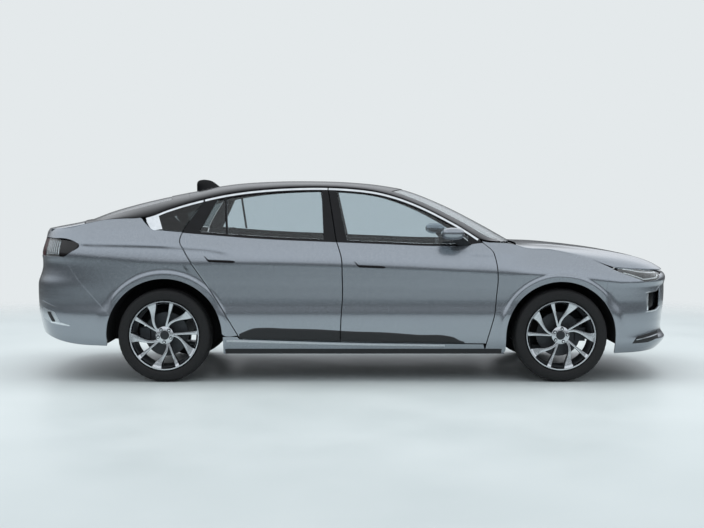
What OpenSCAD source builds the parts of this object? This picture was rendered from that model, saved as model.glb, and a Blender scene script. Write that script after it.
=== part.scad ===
// Midsize fastback sedan: body panels, glass, doors, wheels, running gear and cabin.
// Millimetres, +X to the nose, +Y to the car's left, +Z up, origin on the ground at mid length.
// Outer panels are patches on one body surface, so neighbours share their shut lines.

/* [Overall] */
// Length over the bumpers
overall_length = 4935; // [4800:5:5050]
// Width over the doors
overall_width = 1875; // [1830:5:1930]
// Height of the roof's highest point
roof_height = 1500; // [1480:5:1530]
// Distance between the axles
wheelbase = 2945; // [2900:5:2990]
// Nose to front axle
front_overhang = 916; // [890:2:940]
// Height of the body side's top edge beside the driver
belt_height = 1031; // [1020:1:1045]
// Underside of the sills above the ground
ground_clearance = 205; // [195:1:215]

/* [Wheels] */
// Outer radius of the tyres
tyre_r = 346; // [338:1:352]
// Width of the tyres
tyre_w = 245; // [225:5:250]
// Radius of the rim's outer lip
rim_r = 262; // [250:1:268]
// Distance between the wheel centres across the car
track = 1600; // [1590:2:1610]
// Pairs of spokes in each wheel
spoke_pairs = 5; // [4:1:6]
// Radius of the front wheel openings
front_arch_r = 408; // [402:1:414]
// Radius of the rear wheel openings
rear_arch_r = 430; // [420:1:436]
// Radius of the wheel spindles
spindle_r = 30; // [26:1:34]

/* [Panels] */
// Gap between neighbouring panels
panel_gap = 6; // [5:0.5:7]
// Thickness of the doors below the glass
door_t = 100; // [85:5:110]
// Thickness of the window frames
frame_t = 40; // [32:1:46]
// Thickness of the bolted outer panels
skin_t = 10; // [8:1:14]
// Thickness of the rear quarters ahead of the boot
quarter_t = 34; // [28:1:36]
// Thickness of the roof and its side rails
roof_t = 34; // [28:1:40]
// Thickness of the glass
glass_t = 6; // [4:0.5:8]
// Thickness of the wheel arch liners
liner_t = 6; // [4:0.5:8]
// Clearance of pieces that seat on each other
seat_gap = 0.3; // [0.2:0.05:0.5]

/* [Shut lines] */
// Foremost point of the front doors behind the front axle
front_door_edge = 471; // [460:1:485]
// Foremost point of the rear doors ahead of the rear axle
rear_door_edge = 1323; // [1305:1:1340]

/* [Hidden] */
nose_end = overall_length / 2;
tail_end = overall_length / 2;
axle_f = nose_end - front_overhang;
axle_r = axle_f - wheelbase;
half_w = overall_width / 2;
hub_z = tyre_r;
gap2 = panel_gap / 2;
belt_up = belt_height - 1031;
sill_up = ground_clearance - 205;
hinge_f = axle_f - front_door_edge;
hinge_r = axle_r + rear_door_edge;
wheel_y = track / 2;
pin_y = wheel_y - 65;

function fx(x) = axle_f + x - 1551.5;
function rx(x) = axle_r + x + 1393.5;
// Place of a drawn x between the two axles
function mx(x) = lerp(axle_r, axle_f, (x + 1393.5) / 2945);
function at(x) = x > 1551.5 ? fx(x) : x < -1393.5 ? rx(x) : mx(x);

function lerp(a, b, t) = a + (b - a) * t;
function clamp(t) = min(1, max(0, t));
function smooth(t) = let (s = clamp(t)) s * s * (3 - 2 * s);

// Smooth curve through points in rising order: cubic pieces with three-point slopes
function seg(p, x, i = 0) = i >= len(p) - 2 || x < p[i + 1][0] ? i : seg(p, x, i + 1);
function rise(p, i) = (p[i + 1][1] - p[i][1]) / (p[i + 1][0] - p[i][0]);
function slope(p, i) =
    i == 0 ? rise(p, 0) : i == len(p) - 1 ? rise(p, i - 1) :
    let (a = p[i][0] - p[i - 1][0], b = p[i + 1][0] - p[i][0])
    (rise(p, i - 1) * b + rise(p, i) * a) / (a + b);
function curve(p, x) =
    let (q = min(p[len(p) - 1][0], max(p[0][0], x)), i = seg(p, q), h = p[i + 1][0] - p[i][0],
         t = (q - p[i][0]) / h, a = slope(p, i) * h, b = slope(p, i + 1) * h, d = p[i + 1][1] - p[i][1])
    p[i][1] + a * t + (3 * d - 2 * a - b) * t * t + (a + b - 2 * d) * t * t * t;
function along_x(p) = [for (q = p) [at(q[0]), q[1]]];
function up(p, d) = [for (q = p) [q[0], q[1] + d]];
function tall(p) = [for (q = p) [q[0], q[1] > 1031 ? belt_height + (q[1] - 1031) * (roof_height - belt_height) / 469 : q[1] + belt_up]];

// Path with n steps through control points, by distance
function run(p, i) = i == 0 ? 0 : run(p, i - 1) + norm(p[i] - p[i - 1]);
function path(p, n) =
    let (s = [for (i = [0 : len(p) - 1]) run(p, i)], e = s[len(p) - 1],
         c = [for (k = [0 : len(p[0]) - 1]) [for (i = [0 : len(p) - 1]) [s[i], p[i][k]]]])
    [for (k = [0 : n]) [for (a = c) curve(a, e * k / n)]];

// Lines of the body: top edge of the side, belt, shoulder, crown and ends
rail_line = tall(along_x([[-2400, 1118], [-2330, 1128], [-2150, 1142], [-1990, 1172], [-1880, 1195],
    [-1800, 1206], [-1700, 1211], [-1600, 1214], [-1540, 1224], [-1478, 1241], [-1400, 1272], [-1250, 1322],
    [-1100, 1362], [-1000, 1385], [-850, 1411], [-600, 1437], [-400, 1447], [-250, 1449], [0, 1438],
    [100, 1428], [200, 1412], [300, 1387], [400, 1354], [500, 1314], [600, 1267], [690, 1220], [786, 1167],
    [881, 1107], [940, 1068], [1000, 1048], [1077, 1040]]));
belt_line = up(along_x([[-2400, 1105], [-2100, 1122], [-1800, 1130], [-1400, 1124], [-1250, 1108],
    [-1000, 1087], [-750, 1068], [-500, 1054], [-250, 1044], [0, 1034], [250, 1024], [650, 1010], [820, 1012],
    [940, 1030], [1077, 1034], [1210, 1022], [1290, 995], [1480, 982], [1600, 958], [1800, 905], [1960, 852],
    [2100, 830]]), belt_up);
shoulder_line = along_x([[-2400, 960], [-1900, 925], [-1394, 885], [-860, 885], [250, 855], [700, 835],
    [1000, 820], [1500, 790], [2000, 740]]);
belt_inset = along_x([[-2400, 40], [-1900, 58], [-1400, 68], [800, 68], [1000, 78], [1250, 108], [1900, 70]]);
crown_line = tall(along_x([[-2400, 1130], [-2300, 1150], [-2080, 1195], [-1900, 1262], [-1722, 1315],
    [-1500, 1368], [-1300, 1408], [-975, 1470], [-600, 1497], [-325, 1500], [0, 1489], [217, 1468],
    [430, 1428], [700, 1325], [1000, 1175], [1252, 1034]]));
hood_line = up(along_x([[1200, 1036], [1300, 1025], [1450, 1018], [1675, 1000], [1900, 975], [2100, 940],
    [2200, 917], [2280, 890], [2355, 853], [2430, 796]]), belt_up);
section = [[ground_clearance, 72], [ground_clearance + 85, 36], [400, 16], [500, 6], [580, 11], [680, 15],
    [780, 10], [870, 0]];
nose_line = [[200, 87], [255, 27], [300, 0], [345, 27], [450, 31], [600, 15], [700, 15], [800, 26],
    [830, 77], [860, 117], [900, 197]];
tail_line = [[280, 67], [340, 42], [450, 15], [580, 2], [660, 0], [730, 4], [790, 27], [860, 42], [950, 32],
    [1060, 62], [1140, 82]];
door_front = [[205, -98], [310, -75], [400, -50], [500, -25], [650, -10], [750, 0], [850, -5], [930, -20],
    [975, -38], [1010, -78], [1050, -128]];
door_mid = [[205, -20], [385, -15], [500, -10], [600, -2], [700, 0], [800, -2], [930, -10], [1000, -30],
    [1045, -45], [1130, -60], [1250, -80], [1460, -115]];
door_rear = [[300, -820], [350, -850], [605, -1000], [985, -1250], [1035, -1276], [1075, -1274],
    [1110, -1260], [1340, -1118], [1400, -1078]];
door_low = along_x([[-900, 318], [0, 292], [1000, 278]]);

function rail(x) = curve(rail_line, x);
function belt(x) = curve(belt_line, x);
function crown(x) = curve(crown_line, x);
function nose_x(z) = nose_end - curve(nose_line, z);
function tail_x(z) = tail_end - curve(tail_line, z);
function front_cut(z) = hinge_f + curve(door_front, z - belt_up * smooth((z - 600) / 300));
function mid_cut(z) = hinge_r + curve(door_mid, z);
function rear_cut(z) = at(curve(door_rear, z));
function low_cut(x) = curve(door_low, x) + sill_up;

// Inward offset of the body side at a height: lower section, shoulder, then lean of the glass
function tuck(x, z) =
    let (b = belt(x), w = min(curve(shoulder_line, x), b - 60), d = curve(belt_inset, x), h = z - b)
    z > b ? d + 0.58 * h + 0.00013 * h * h :
    z > w ? d * pow((z - w) / (b - w), 1.5) :
    z > 580 ? curve(section, 580 + (z - 580) * 290 / (w - 580)) : curve(section, z);
function flare(x, z) =
    let (f = x > 0, r = norm([x - (f ? axle_f : axle_r), z - hub_z + 6]) - (f ? front_arch_r : rear_arch_r))
    9 * smooth(1 - r / 75);
function taper(x, z) =
    let (e = x > 0 ? nose_x(z) : tail_x(z)) pow(max(0, 1 - pow(abs(x) / e, 14)), 0.4);
function side_y(x, z) = (half_w - 9 - tuck(x, z)) * taper(x, z) + flare(x, z);
function side_pt(q, t = 0) = [q[0], side_y(q[0], q[1]) - t, q[1]];

// Point of an end's wrap: s from 0 at the middle to 1 at the wheel opening
function wrap_pt(s, z, t, edge, end) =
    let (e = end - t, a = s * acos(pow(min(1, abs(edge) / e), 7)), x = e * pow(cos(a), 1 / 7),
         x1 = sign(edge) * x)
    [x1, sign(a) * ((half_w - 9 - t - tuck(x1, z)) * pow(abs(sin(a)), 0.8) + flare(x1, z)), z];

// Closed solid between an outer and an inner grid; hole ranges of cells are left open
function open_cell(i, j, n, m, holes) =
    i < 0 || j < 0 || i >= n || j >= m
    || len([for (h = holes) if (i >= h[0] && i < h[1] && j >= h[2] && j < h[3]) 1]) > 0;
module sheet(outer, inner, holes = [], loop = false) {
    n = len(outer) - 1;
    m = len(outer[0]) - 1;
    c = m + 1;
    o = (n + 1) * c;
    function id(i, j) = i * c + j;
    function gone(i, j) = open_cell(loop ? (i + n) % n : i, j, n, m, holes);
    function wrap(i) = loop && i == n ? 0 : i;
    polyhedron(points = concat([for (r = outer) for (p = r) p], [for (r = inner) for (p = r) p]), faces = [
        for (i = [0 : n - 1]) for (j = [0 : m - 1]) if (!gone(i, j))
            let (a = id(i, j), b = id(wrap(i + 1), j), d = id(wrap(i + 1), j + 1), e = id(i, j + 1))
            each concat([[a, b, d], [a, d, e], [o + d, o + b, o + a], [o + e, o + d, o + a]],
                gone(i, j - 1) ? [[b, a, o + a], [b, o + a, o + b]] : [],
                gone(i + 1, j) ? [[d, b, o + b], [d, o + b, o + d]] : [],
                gone(i, j + 1) ? [[e, d, o + d], [e, o + d, o + e]] : [],
                gone(i - 1, j) ? [[a, e, o + e], [a, o + e, o + a]] : [])], convexity = 10);
}

// Blend of four boundary paths: bottom and top with n steps, left and right with m steps
function blend(b, t, l, r) =
    let (n = len(b) - 1, m = len(l) - 1)
    [for (i = [0 : n]) [for (j = [0 : m]) let (u = i / n, v = j / m)
        b[i] * (1 - v) + t[i] * v + l[j] * (1 - u) + r[j] * u
        - (b[0] * (1 - u) + b[n] * u) * (1 - v) - (t[0] * (1 - u) + t[n] * u) * v]];
// Inner copy of a flat grid with its edges drawn in by d
function draw_in(g, d) =
    let (n = len(g) - 1, m = len(g[0]) - 1)
    [for (i = [0 : n]) [for (j = [0 : m])
        let (a = i == 0 ? g[1][j] - g[0][j] : i == n ? g[n - 1][j] - g[n][j] : [0, 0],
             b = j == 0 ? g[i][1] - g[i][0] : j == m ? g[i][m - 1] - g[i][m] : [0, 0],
             p = norm(a), q = norm(b))
        g[i][j] + (p > 0 ? a * min(0.4, d / p) : [0, 0]) + (q > 0 ? b * min(0.4, d / q) : [0, 0])]];
function off_wheel(q, x, r, m) =
    let (c = hub_z - 6, d = q - [x, c], p = norm(d))
    d[1] < 0 ? [x + sign(d[0]) * max(abs(d[0]), r + m), q[1]] : p < r + m ? [x, c] + d * (r + m) / p : q;
function round_wheel(g, x, r, ease = 0) = [for (i = [0 : len(g) - 1]) let (w = ease > 0 ? min(1, (len(g) - 1 - i) / ease) : 1)
    [for (j = [0 : len(g[i]) - 1]) w == 0 ? g[i][j] : off_wheel(g[i][j], x, r, w * min(60, 14 * j))]];
module side_sheet(g, t, d = 0, out = 0) {
    h = d > 0 ? draw_in(g, d) : g;
    sheet([for (r = g) [for (q = r) side_pt(q, -out)]], [for (r = h) [for (q = r) side_pt(q, t)]]);
}
module both() { children(); mirror([0, 1, 0]) children(); }
module on_side(left) { if (left) children(); else mirror([0, 1, 0]) children(); }

// Doors: a ring of panel between the door's outline and its window
function door_side(p, n) = let (q = path(p, n)) [for (k = [0 : n - 1]) q[k]];
function front_outline() =
    let (z0 = low_cut(hinge_r) + panel_gap, x0 = mid_cut(z0) + gap2, x1 = front_cut(low_cut(hinge_f)) - gap2,
         zt = 1046 + belt_up, xt = front_cut(zt) - gap2, xb = mid_cut(1440))
    [for (k = [0 : 11]) let (x = lerp(x0, x1, k / 12)) [x, low_cut(x) + panel_gap],
     for (k = [0 : 9]) let (z = lerp(low_cut(x1) + panel_gap, zt, k / 10)) [front_cut(z) - gap2, z],
     for (k = [0 : 13]) let (x = lerp(xt - 6, xb + gap2, k / 14)) [x, rail(x) - gap2 - (k == 0 ? 2 : 0)],
     for (k = [0 : 9]) let (z = lerp(rail(xb) - gap2, z0, k / 10)) [mid_cut(z) + gap2, z]];
function front_window(d = 0) =
    let (x0 = mid_cut(1060) + 82 + d, x1 = mx(866) - 3 * d, x2 = mid_cut(1400) + 60 + d)
    [for (k = [0 : 11]) let (x = lerp(x0, x1, k / 12)) [x, belt(x) + 16 + d],
     for (k = [0 : 9]) [x1 + d * k / 10, lerp(belt(x1) + 16 + d, rail(x1) - 30 - d, k / 10)],
     for (k = [0 : 13]) let (x = lerp(x1, x2, k / 14)) [x, rail(x) - 30 - d],
     for (k = [0 : 9]) let (t = k / 10) [lerp(x2, x0, t), lerp(rail(x2) - 30 - d, belt(x0) + 16 + d, t)]];
function rear_outline() =
    let (zr = rail(at(-1100)) - gap2 - 4, z0 = low_cut(at(-830)) + panel_gap, x0 = rear_cut(z0) + gap2,
         x1 = mid_cut(z0) - gap2, xb = mid_cut(1440), xr = rear_cut(zr) + gap2)
    [for (k = [0 : 11]) let (x = lerp(x0, x1, k / 12)) [x, low_cut(x) + panel_gap],
     for (k = [0 : 9]) let (z = lerp(low_cut(x1) + panel_gap, rail(xb) - gap2, k / 10)) [mid_cut(z) - gap2, z],
     for (k = [0 : 13]) let (x = lerp(xb - gap2, xr, k / 14)) [x, rail(x) - gap2],
     for (k = [0 : 9]) let (z = lerp(rail(xr) - gap2, z0, k / 10)) [rear_cut(z) + gap2, z]];
function rear_window_hole(d = 0) =
    let (x0 = at(-1135) + 2 * d, x1 = mid_cut(1110) - 84 - d, x2 = mid_cut(1400) - 55 - d, x3 = at(-1012) + d)
    [for (k = [0 : 11]) let (x = lerp(x0, x1, k / 12)) [x, belt(x) + 18 + d],
     for (k = [0 : 9]) let (t = k / 10) [lerp(x1, x2, t), lerp(belt(x1) + 18 + d, rail(x2) - 30 - d, t)],
     for (k = [0 : 13]) let (x = lerp(x2, x3, k / 14)) [x, rail(x) - 30 - d],
     for (k = [0 : 9]) let (t = k / 10) [lerp(x3, x0, t), lerp(rail(x3) - 30 - d, belt(x0) + 18 + d, t)]];
// Closed outline drawn in by d
function loop_in(p, d) =
    let (n = len(p))
    [for (i = [0 : n - 1]) let (t = p[(i + 1) % n] - p[(i + n - 1) % n], u = t / norm(t)) p[i] + [-u[1], u[0]] * d];
function door_thick(q) = lerp(door_t, frame_t, smooth((q[1] - belt(q[0]) + 14) / 28));
module door(outline, window) {
    low = loop_in(outline, 14);
    n = len(outline);
    rows = 6;
    g = [for (i = [0 : n]) [for (j = [0 : rows]) lerp(window[i % n], outline[i % n], j / rows)]];
    h = [for (i = [0 : n]) [for (j = [0 : rows]) lerp(window[i % n], low[i % n], j / rows)]];
    sheet([for (r = g) [for (j = [rows : -1 : 0]) side_pt(r[j])]],
          [for (r = h) [for (j = [rows : -1 : 0]) side_pt(r[j], door_thick(r[j]))]], loop = true);
}
// Pane that fills an outline, drawn as a fan of rows from the bottom edge to the top edge
module pane(p, deep) {
    b = [for (k = [0 : 12]) p[k]];
    t = [for (k = [0 : 12]) let (a = 36 - k * 14 / 12, i = floor(a), f = a - i) lerp(p[i], p[min(45, i + 1)], f)];
    g = [for (k = [0 : 12]) [for (j = [0 : 4]) lerp(b[k], t[k], j / 4)]];
    sheet([for (r = g) [for (q = r) side_pt(q, deep)]], [for (r = g) [for (q = r) side_pt(q, deep + glass_t)]]);
}

module front_door_right() { color("#7d8891") on_side(false) door(front_outline(), front_window()); }
module front_door_left() { color("#7d8891") on_side(true) door(front_outline(), front_window()); }
module rear_door_right() { color("#7d8891") on_side(false) door(rear_outline(), rear_window_hole()); }
module rear_door_left() { color("#7d8891") on_side(true) door(rear_outline(), rear_window_hole()); }
module front_glass_right() { color("#9fb0b4") on_side(false) pane(front_window(seat_gap), 8); }
module front_glass_left() { color("#9fb0b4") on_side(true) pane(front_window(seat_gap), 8); }
module rear_glass_right() { color("#9fb0b4") on_side(false) pane(rear_window_hole(seat_gap), 8); }
module rear_glass_left() { color("#9fb0b4") on_side(true) pane(rear_window_hole(seat_gap), 8); }

// Mirror housing on the front door
module mirror_shell() {
    x = mx(752);
    y = side_y(x, 1030);
    hull() {
        translate([x - 62, y + 60, 1098]) sphere(34, $fn = 14);
        translate([x + 36, y + 52, 1086]) sphere(30, $fn = 14);
        translate([x - 60, y + 168, 1112]) sphere(36, $fn = 14);
        translate([x + 8, y + 176, 1102]) sphere(30, $fn = 14);
    }
    hull() {
        translate([x - 10, y + 62, 1062]) sphere(17, $fn = 12);
        translate([x + 40, side_y(x + 40, 996) + 6, 996]) sphere(9, $fn = 12);
        translate([x + 100, side_y(x + 100, 996) + 6, 996]) sphere(9, $fn = 12);
    }
}
module mirror_right() { color("#7d8891") on_side(false) mirror_shell(); }
module mirror_left() { color("#7d8891") on_side(true) mirror_shell(); }

// Roof, windscreen and rear window: curved stations between the two rails
function station(x, b, e, v, yr, zr, zc) =
    [x + b * (1 - pow(abs(v), e)), yr * v, zr + (zc - zr) * pow(max(0, 1 - pow(abs(v), 2.6)), 0.625)];
function rail_y(x) = side_y(x, rail(x)) - 90 * smooth((x - mx(900)) / 180);
roof_rows = [for (r = [[-1982, -98], [-1880, -195], [-1800, -180], [-1700, -165], [-1560, -140], [-1400, -110], [-1330, -95],
    [-1250, -75], [-1215, -70], [-1000, -35], [-800, -15], [-550, 0], [-325, 0], [-100, 10], [100, 60],
    [225, 125], [262, 140], [330, 150], [500, 165], [690, 175], [880, 178], [1000, 178], [1077, 175]])
    [at(r[0]), r[1]]];
roof_across = [1, 0.975, 0.94, 0.87, 0.7, 0.5, 0.25, 0, -0.25, -0.5, -0.7, -0.87, -0.94, -0.975, -1];
// Width of the black frame beside the glass, as a share of the rail width
function pillar_share(x) = 0.87 - 0.11 * smooth((at(-1150) - x) / 250) + 0.09 * smooth((at(-1600) - x) / 250);
function across(x, k) =
    let (v = roof_across[k], a = abs(v), p = pillar_share(x))
    a > 0.9 ? v : a > 0.8 ? sign(v) * p : v * p / 0.87;
function roof_pt(r, k, t) =
    let (x = r[0], v = across(x, k), e = k == 0 || k == 14,
         q = station(x, r[1], 2.4, v, rail_y(x), rail(x) + (e ? gap2 : gap2), crown(x + r[1]) + gap2))
    [q[0], q[1] - sign(v) * t * (abs(v) > 0.9 ? 1 : 0.2), q[2] - (e ? 0 : t)];
module roof_sheet(i0, i1, k0, k1, t, holes = [], drop = 0) {
    rows = [for (i = [i0 : i1]) roof_rows[i]];
    sheet([for (r = rows) [for (k = [k0 : k1]) roof_pt(r, k, drop)]],
          [for (r = rows) [for (k = [k0 : k1]) roof_pt(r, k, drop + t)]], holes);
}
module upper_frame() {
    color("#17181a") roof_sheet(0, 22, 0, 14, roof_t, [[1, 6, 3, 11], [8, 15, 3, 11], [16, 22, 3, 11]]);
}
// A fixed pane sits in its opening with a small seat gap at the edges
module panel_in(i0, i1, t, drop) {
    rows = [for (i = [i0 : i1]) roof_rows[i]];
    function trim(r, k, d) =
        let (p = roof_pt(r, k, d)) [p[0], p[1] - (k == 3 ? seat_gap : k == 11 ? -seat_gap : 0), p[2]];
    n = i1 - i0;
    function row(i) = i == 0 ? lerp(rows[0], rows[1], 0.004) : i == n ? lerp(rows[n], rows[n - 1], 0.004) : rows[i];
    sheet([for (i = [0 : n]) [for (k = [3 : 11]) trim(row(i), k, drop)]],
          [for (i = [0 : n]) [for (k = [3 : 11]) trim(row(i), k, drop + t)]]);
}
module roof() {
    color("#1b1c1f") {
        panel_in(8, 15, roof_t - 4, 1);
        antenna_fin();
    }
}
module windscreen() { color("#9fb0b4") panel_in(16, 22, glass_t, 4); }
module rear_window() { color("#8a9aa0") panel_in(1, 6, glass_t, 4); }
module quarter_windows() {
    color("#22262a") both() {
        x0 = at(-1535);
        x1 = rear_cut(belt(at(-1262)) + 8) - gap2;
        zt = rail(at(-1120)) - gap2;
        side_sheet(blend(path([[x0, belt(x0) + 60], [at(-1500), belt(at(-1500)) + 12], [at(-1400), belt(at(-1400)) + 6],
                               [x1, belt(x1) + 6]], 8),
                         path([[x0, rail(x0) - gap2 - 2], [at(-1478), rail(at(-1478)) - gap2],
                               [at(-1400), rail(at(-1400)) - gap2], [at(-1250), rail(at(-1250)) - gap2],
                               [rear_cut(zt) - gap2 - 2, rail(rear_cut(zt)) - gap2]], 8),
                         path([[x0, belt(x0) + 60], [x0, rail(x0) - gap2 - 2]], 4),
                         path([for (k = [0 : 4]) let (z = lerp(belt(x1) + 6, rail(rear_cut(zt)) - gap2, k / 4))
                               [rear_cut(z) - gap2 - (k == 4 ? 2 : 0), z]], 4)), 26, 3);
    }
}

function back(p) = [for (k = [len(p) - 1 : -1 : 0]) p[k]];
// Rear quarter panels with the wheel opening
module rear_quarters() {
    r = rear_arch_r;
    c = hub_z - 6;
    low = low_cut(axle_r + r) + 20;
    lip = gap2 - 2.3;
    b = path(concat([[rear_cut(low + 8) - gap2, low + 8], [axle_r + r + 25, low + 4]],
        [for (a = [2 : 12 : 146]) [axle_r + r * cos(a), c + r * sin(a)]],
        [for (z = [500, 555, 610, 690, 770, 843, 925]) [rear_edge(z), z]]), 30);
    t = path([[rear_cut(belt(at(-1262)) + 2) - gap2, belt(at(-1262)) + 2], [at(-1400), belt(at(-1400))],
        [at(-1490), belt(at(-1490)) + 8], [at(-1542), belt(at(-1542)) + 50], [at(-1580), rail(at(-1580)) + lip],
        [at(-1600), rail(at(-1600)) + lip], [at(-1640), rail(at(-1640)) + lip],
        [at(-1700), rail(at(-1700)) + lip], [at(-1880), rail(at(-1880)) + lip],
        [at(-1978), rail(at(-1978)) + lip], [at(-2030), rail(at(-2030)) - gap2],
        [at(-2150), rail(at(-2150)) - gap2], [at(-2240), rail(at(-2240)) - gap2], [at(-2276), 1112],
        [at(-2312), 1086], [at(-2330), 1070]], 30);
    l = path([for (k = [0 : 10]) let (z = lerp(low + 8, belt(at(-1262)) + 2, k / 10)) [rear_cut(z) - gap2 - 1.5 * smooth(2 - abs(z - 1050) / 40), z]], 10);
    e = path([[rear_edge(925), 925], [at(-2085), 965], [at(-2022), 1012], [at(-2040), 1046], [at(-2230), 1066],
        [at(-2330), 1070]], 10);
    g = round_wheel(blend(back(b), back(t), e, l), axle_r, r, 8);
    h = draw_in(g, 5);
    n = len(g[0]) - 1;
    function deep(x) = lerp(quarter_t, skin_t, smooth((at(-1900) - x) / 80));
    function sunk(q) = [q[0], q[1] - 12 * smooth((at(-1965) - q[0]) / 25) * smooth((q[0] - at(-2310)) / 30)];
    color("#7d8891") both() sheet([for (r = g) [for (q = r) side_pt(q)]],
        [for (r = h) [for (j = [0 : n]) side_pt(j < n ? r[j] : sunk(r[j]), deep(r[j][0]))]]);
}
// Front fenders
module front_fenders() {
    r = front_arch_r;
    c = hub_z - 6;
    z0 = ground_clearance + 14;
    b = path(concat([[front_cut(z0) + gap2, z0], [axle_f - r - 30, z0], [axle_f - r - 6, z0 + 8],
        [axle_f - r, z0 + 30], [axle_f - r, z0 + 70]],
        [for (a = [178 : -10 : 48]) [axle_f + r * cos(a), c + r * sin(a)]], [[front_edge(584), 584]]), 28);
    t = path([[front_cut(1044) + gap2 + 4, 1044 + belt_up], [at(1010), belt(at(1010)) + 2], [at(1077), belt(at(1077)) - 1],
        [at(1210), belt(at(1210)) - gap2], [at(1290), belt(at(1290)) - gap2], [at(1480), belt(at(1480)) - gap2],
        [at(1600), belt(at(1600)) - gap2], [at(1800), belt(at(1800)) - gap2], [front_edge(842), 842]], 28);
    l = path([for (k = [0 : 12]) let (z = lerp(z0, 1044 + belt_up, k / 12)) [front_cut(z) + gap2 + (k == 12 ? 4 : 0), z]], 10);
    e = path([for (k = [0 : 12]) let (z = lerp(584, 842, k / 12)) [front_edge(z), z]], 10);
    color("#7d8891") both() side_sheet(round_wheel(blend(b, t, l, e), axle_f, r), skin_t, 3);
}
// Sills between the wheel openings
module sills() {
    x0 = axle_r + rear_arch_r + 8 + liner_t + seat_gap;
    x1 = axle_f - front_arch_r - 8;
    step = front_cut(270) - 50;
    n = 14;
    xs = concat([for (i = [0 : n]) lerp(x0, step, i / n)], [step + 25, x1]);
    function top(x) = x < rear_cut(340) ? low_cut(x) + 18 : x > step ? ground_clearance + 4 : low_cut(x);
    g = [for (x = xs) [for (j = [0 : 4]) [x, lerp(ground_clearance, max(top(x), ground_clearance + 4), j / 4)]]];
    color("#7d8891") both() sheet([for (r = g) [for (q = r) side_pt(q)]],
        [for (r = g) [for (q = r) [q[0], half_w - 190, q[1]]]]);
}

// Bumpers wrap round the ends
function front_edge(z) = axle_f + front_arch_r * cos(asin(clamp((min(z, 584) - hub_z + 6) / front_arch_r)))
    + lookup(z, [[584, 0], [690, 5], [785, 20], [842, 60]]);
function nose_pt(s, z, t = 0) = wrap_pt(s, z, t, front_edge(z) + seat_gap, nose_x(z));
function rear_edge(z) = axle_r - rear_arch_r * cos(asin(clamp((min(z, 500) - hub_z + 6) / rear_arch_r)))
    - lookup(z, [[500, 0], [610, 107], [770, 247], [916, 347]]);
function tail_pt(s, z, t = 0) = wrap_pt(s, z, t, rear_edge(z) - seat_gap, tail_x(z));
lamp_low = [[0, 796], [0.5, 798], [0.57, 790], [0.64, 754], [0.8, 742], [0.93, 800], [1, 840]];
lamp_top = [[0, 806], [0.5, 808], [0.57, 812], [0.735, 828], [0.9, 846], [1, 850]];
tail_low = [[0, 786], [0.44, 786], [0.455, 933], [0.9, 933], [1, 928]];
tail_edge_low = [[at(-2150), 930.5], [at(-2085), 968], [at(-2032), 1004]];
tail_edge_top = [[at(-2300), 1063], [at(-2230), 1061], [at(-2045), 1041], [at(-2032), 1030]];
module front_bumper() {
    s = [1, 0.97, 0.93, 0.865, 0.8, 0.72, 0.64, 0.605, 0.57, 0.5, 0.44, 0.36, 0.28, 0.14, 0];
    c = concat([for (a = s) -a], [for (k = [13 : -1 : 0]) s[k]]);
    v = [0, 0.05, 0.12, 0.16, 0.22, 0.27, 0.4, 0.55, 0.68, 0.8, 0.92, 1];
    function z(a, k) = let (e = abs(a), b = lerp(222, 208, smooth(e * 1.4 - 0.4))) lerp(b, lookup(e, lamp_low) - seat_gap, v[k]);
    g = [for (k = [0 : 11]) [for (a = c) [a, z(a, k)]]];
    color("#7d8891") sheet([for (r = g) [for (q = r) nose_pt(q[0], q[1])]],
        [for (r = g) [for (q = r) nose_pt(q[0], q[1] + (q[1] < 300 ? 4 : 0), skin_t + 4)]],
        [[5, 10, 11, 17], [2, 4, 11, 17], [7, 9, 5, 8], [7, 9, 20, 23]]);
}
module grille() {
    wide = [-0.44, -0.36, -0.28, -0.14, 0, 0.14, 0.28, 0.36, 0.44];
    color("#15171a") {
        for (k = [0 : 6]) slat(448 + k * 46, 30, wide, 30);
        for (s = [-0.4, -0.2, 0, 0.2, 0.4]) let (p = nose_pt(s, 590, 40))
            translate([p[0] - 12, p[1] - 6, 440]) cube([14, 12, 320]);
        slat(296, 60, wide, 12);
        slat(500, 190, [-0.8, -0.72, -0.64, -0.605, -0.57, -0.5], 16);
        slat(500, 190, [0.5, 0.57, 0.605, 0.64, 0.72, 0.8], 16);
    }
}
module slat(z, h, c, t) {
    d = skin_t + 4 + 3 * seat_gap;
    sheet([for (a = [0, 0.5, 1]) [for (s = c) nose_pt(s, z + h * a, d)]],
          [for (a = [0, 0.5, 1]) [for (s = c) nose_pt(s, z + h * a, d + t)]]);
}
module headlamps() {
    s = [0.57, 0.605, 0.64, 0.72, 0.8, 0.865, 0.93, 0.97];
    g = [for (v = [0, 0.33, 0.66, 1]) [for (k = [0 : 7]) let (a = s[k])
        [a, lerp(lookup(a, lamp_low), max(lookup(a, lamp_top) - panel_gap, lookup(a, lamp_low) + 6), v)]]];
    color("#cfd6da") both() sheet([for (r = g) [for (q = r) nose_pt(q[0], q[1], 2)]],
        [for (r = g) [for (k = [0 : 7]) let (z = g[0][k][1])
            nose_pt(s[k], z + (r[k][1] - z) * clamp((g[3][k][1] - z - 24) / 60), 60)]]);
}
module rear_bumper() {
    s = [1, 0.94, 0.88, 0.82, 0.76, 0.7, 0.62, 0.54, 0.455, 0.44, 0.38, 0.3, 0.2, 0.1, 0];
    c = concat(s, [for (k = [13 : -1 : 0]) -s[k]]);
    v = [0, 0.06, 0.14, 0.24, 0.34, 0.45, 0.56, 0.68, 0.8, 0.9, 1];
    function z(a, k) = let (e = abs(a), b = lerp(350, 268, smooth(e * 1.5 - 0.5))) lerp(b, lookup(e, tail_low) - gap2, v[k]);
    g = [for (k = [0 : 10]) [for (a = c) [a, z(a, k)]]];
    color("#7d8891") sheet([for (r = g) [for (q = r) tail_pt(q[0], q[1])]],
        [for (r = g) [for (q = r) tail_pt(q[0], q[1], skin_t + 6)]]);
}
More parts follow.
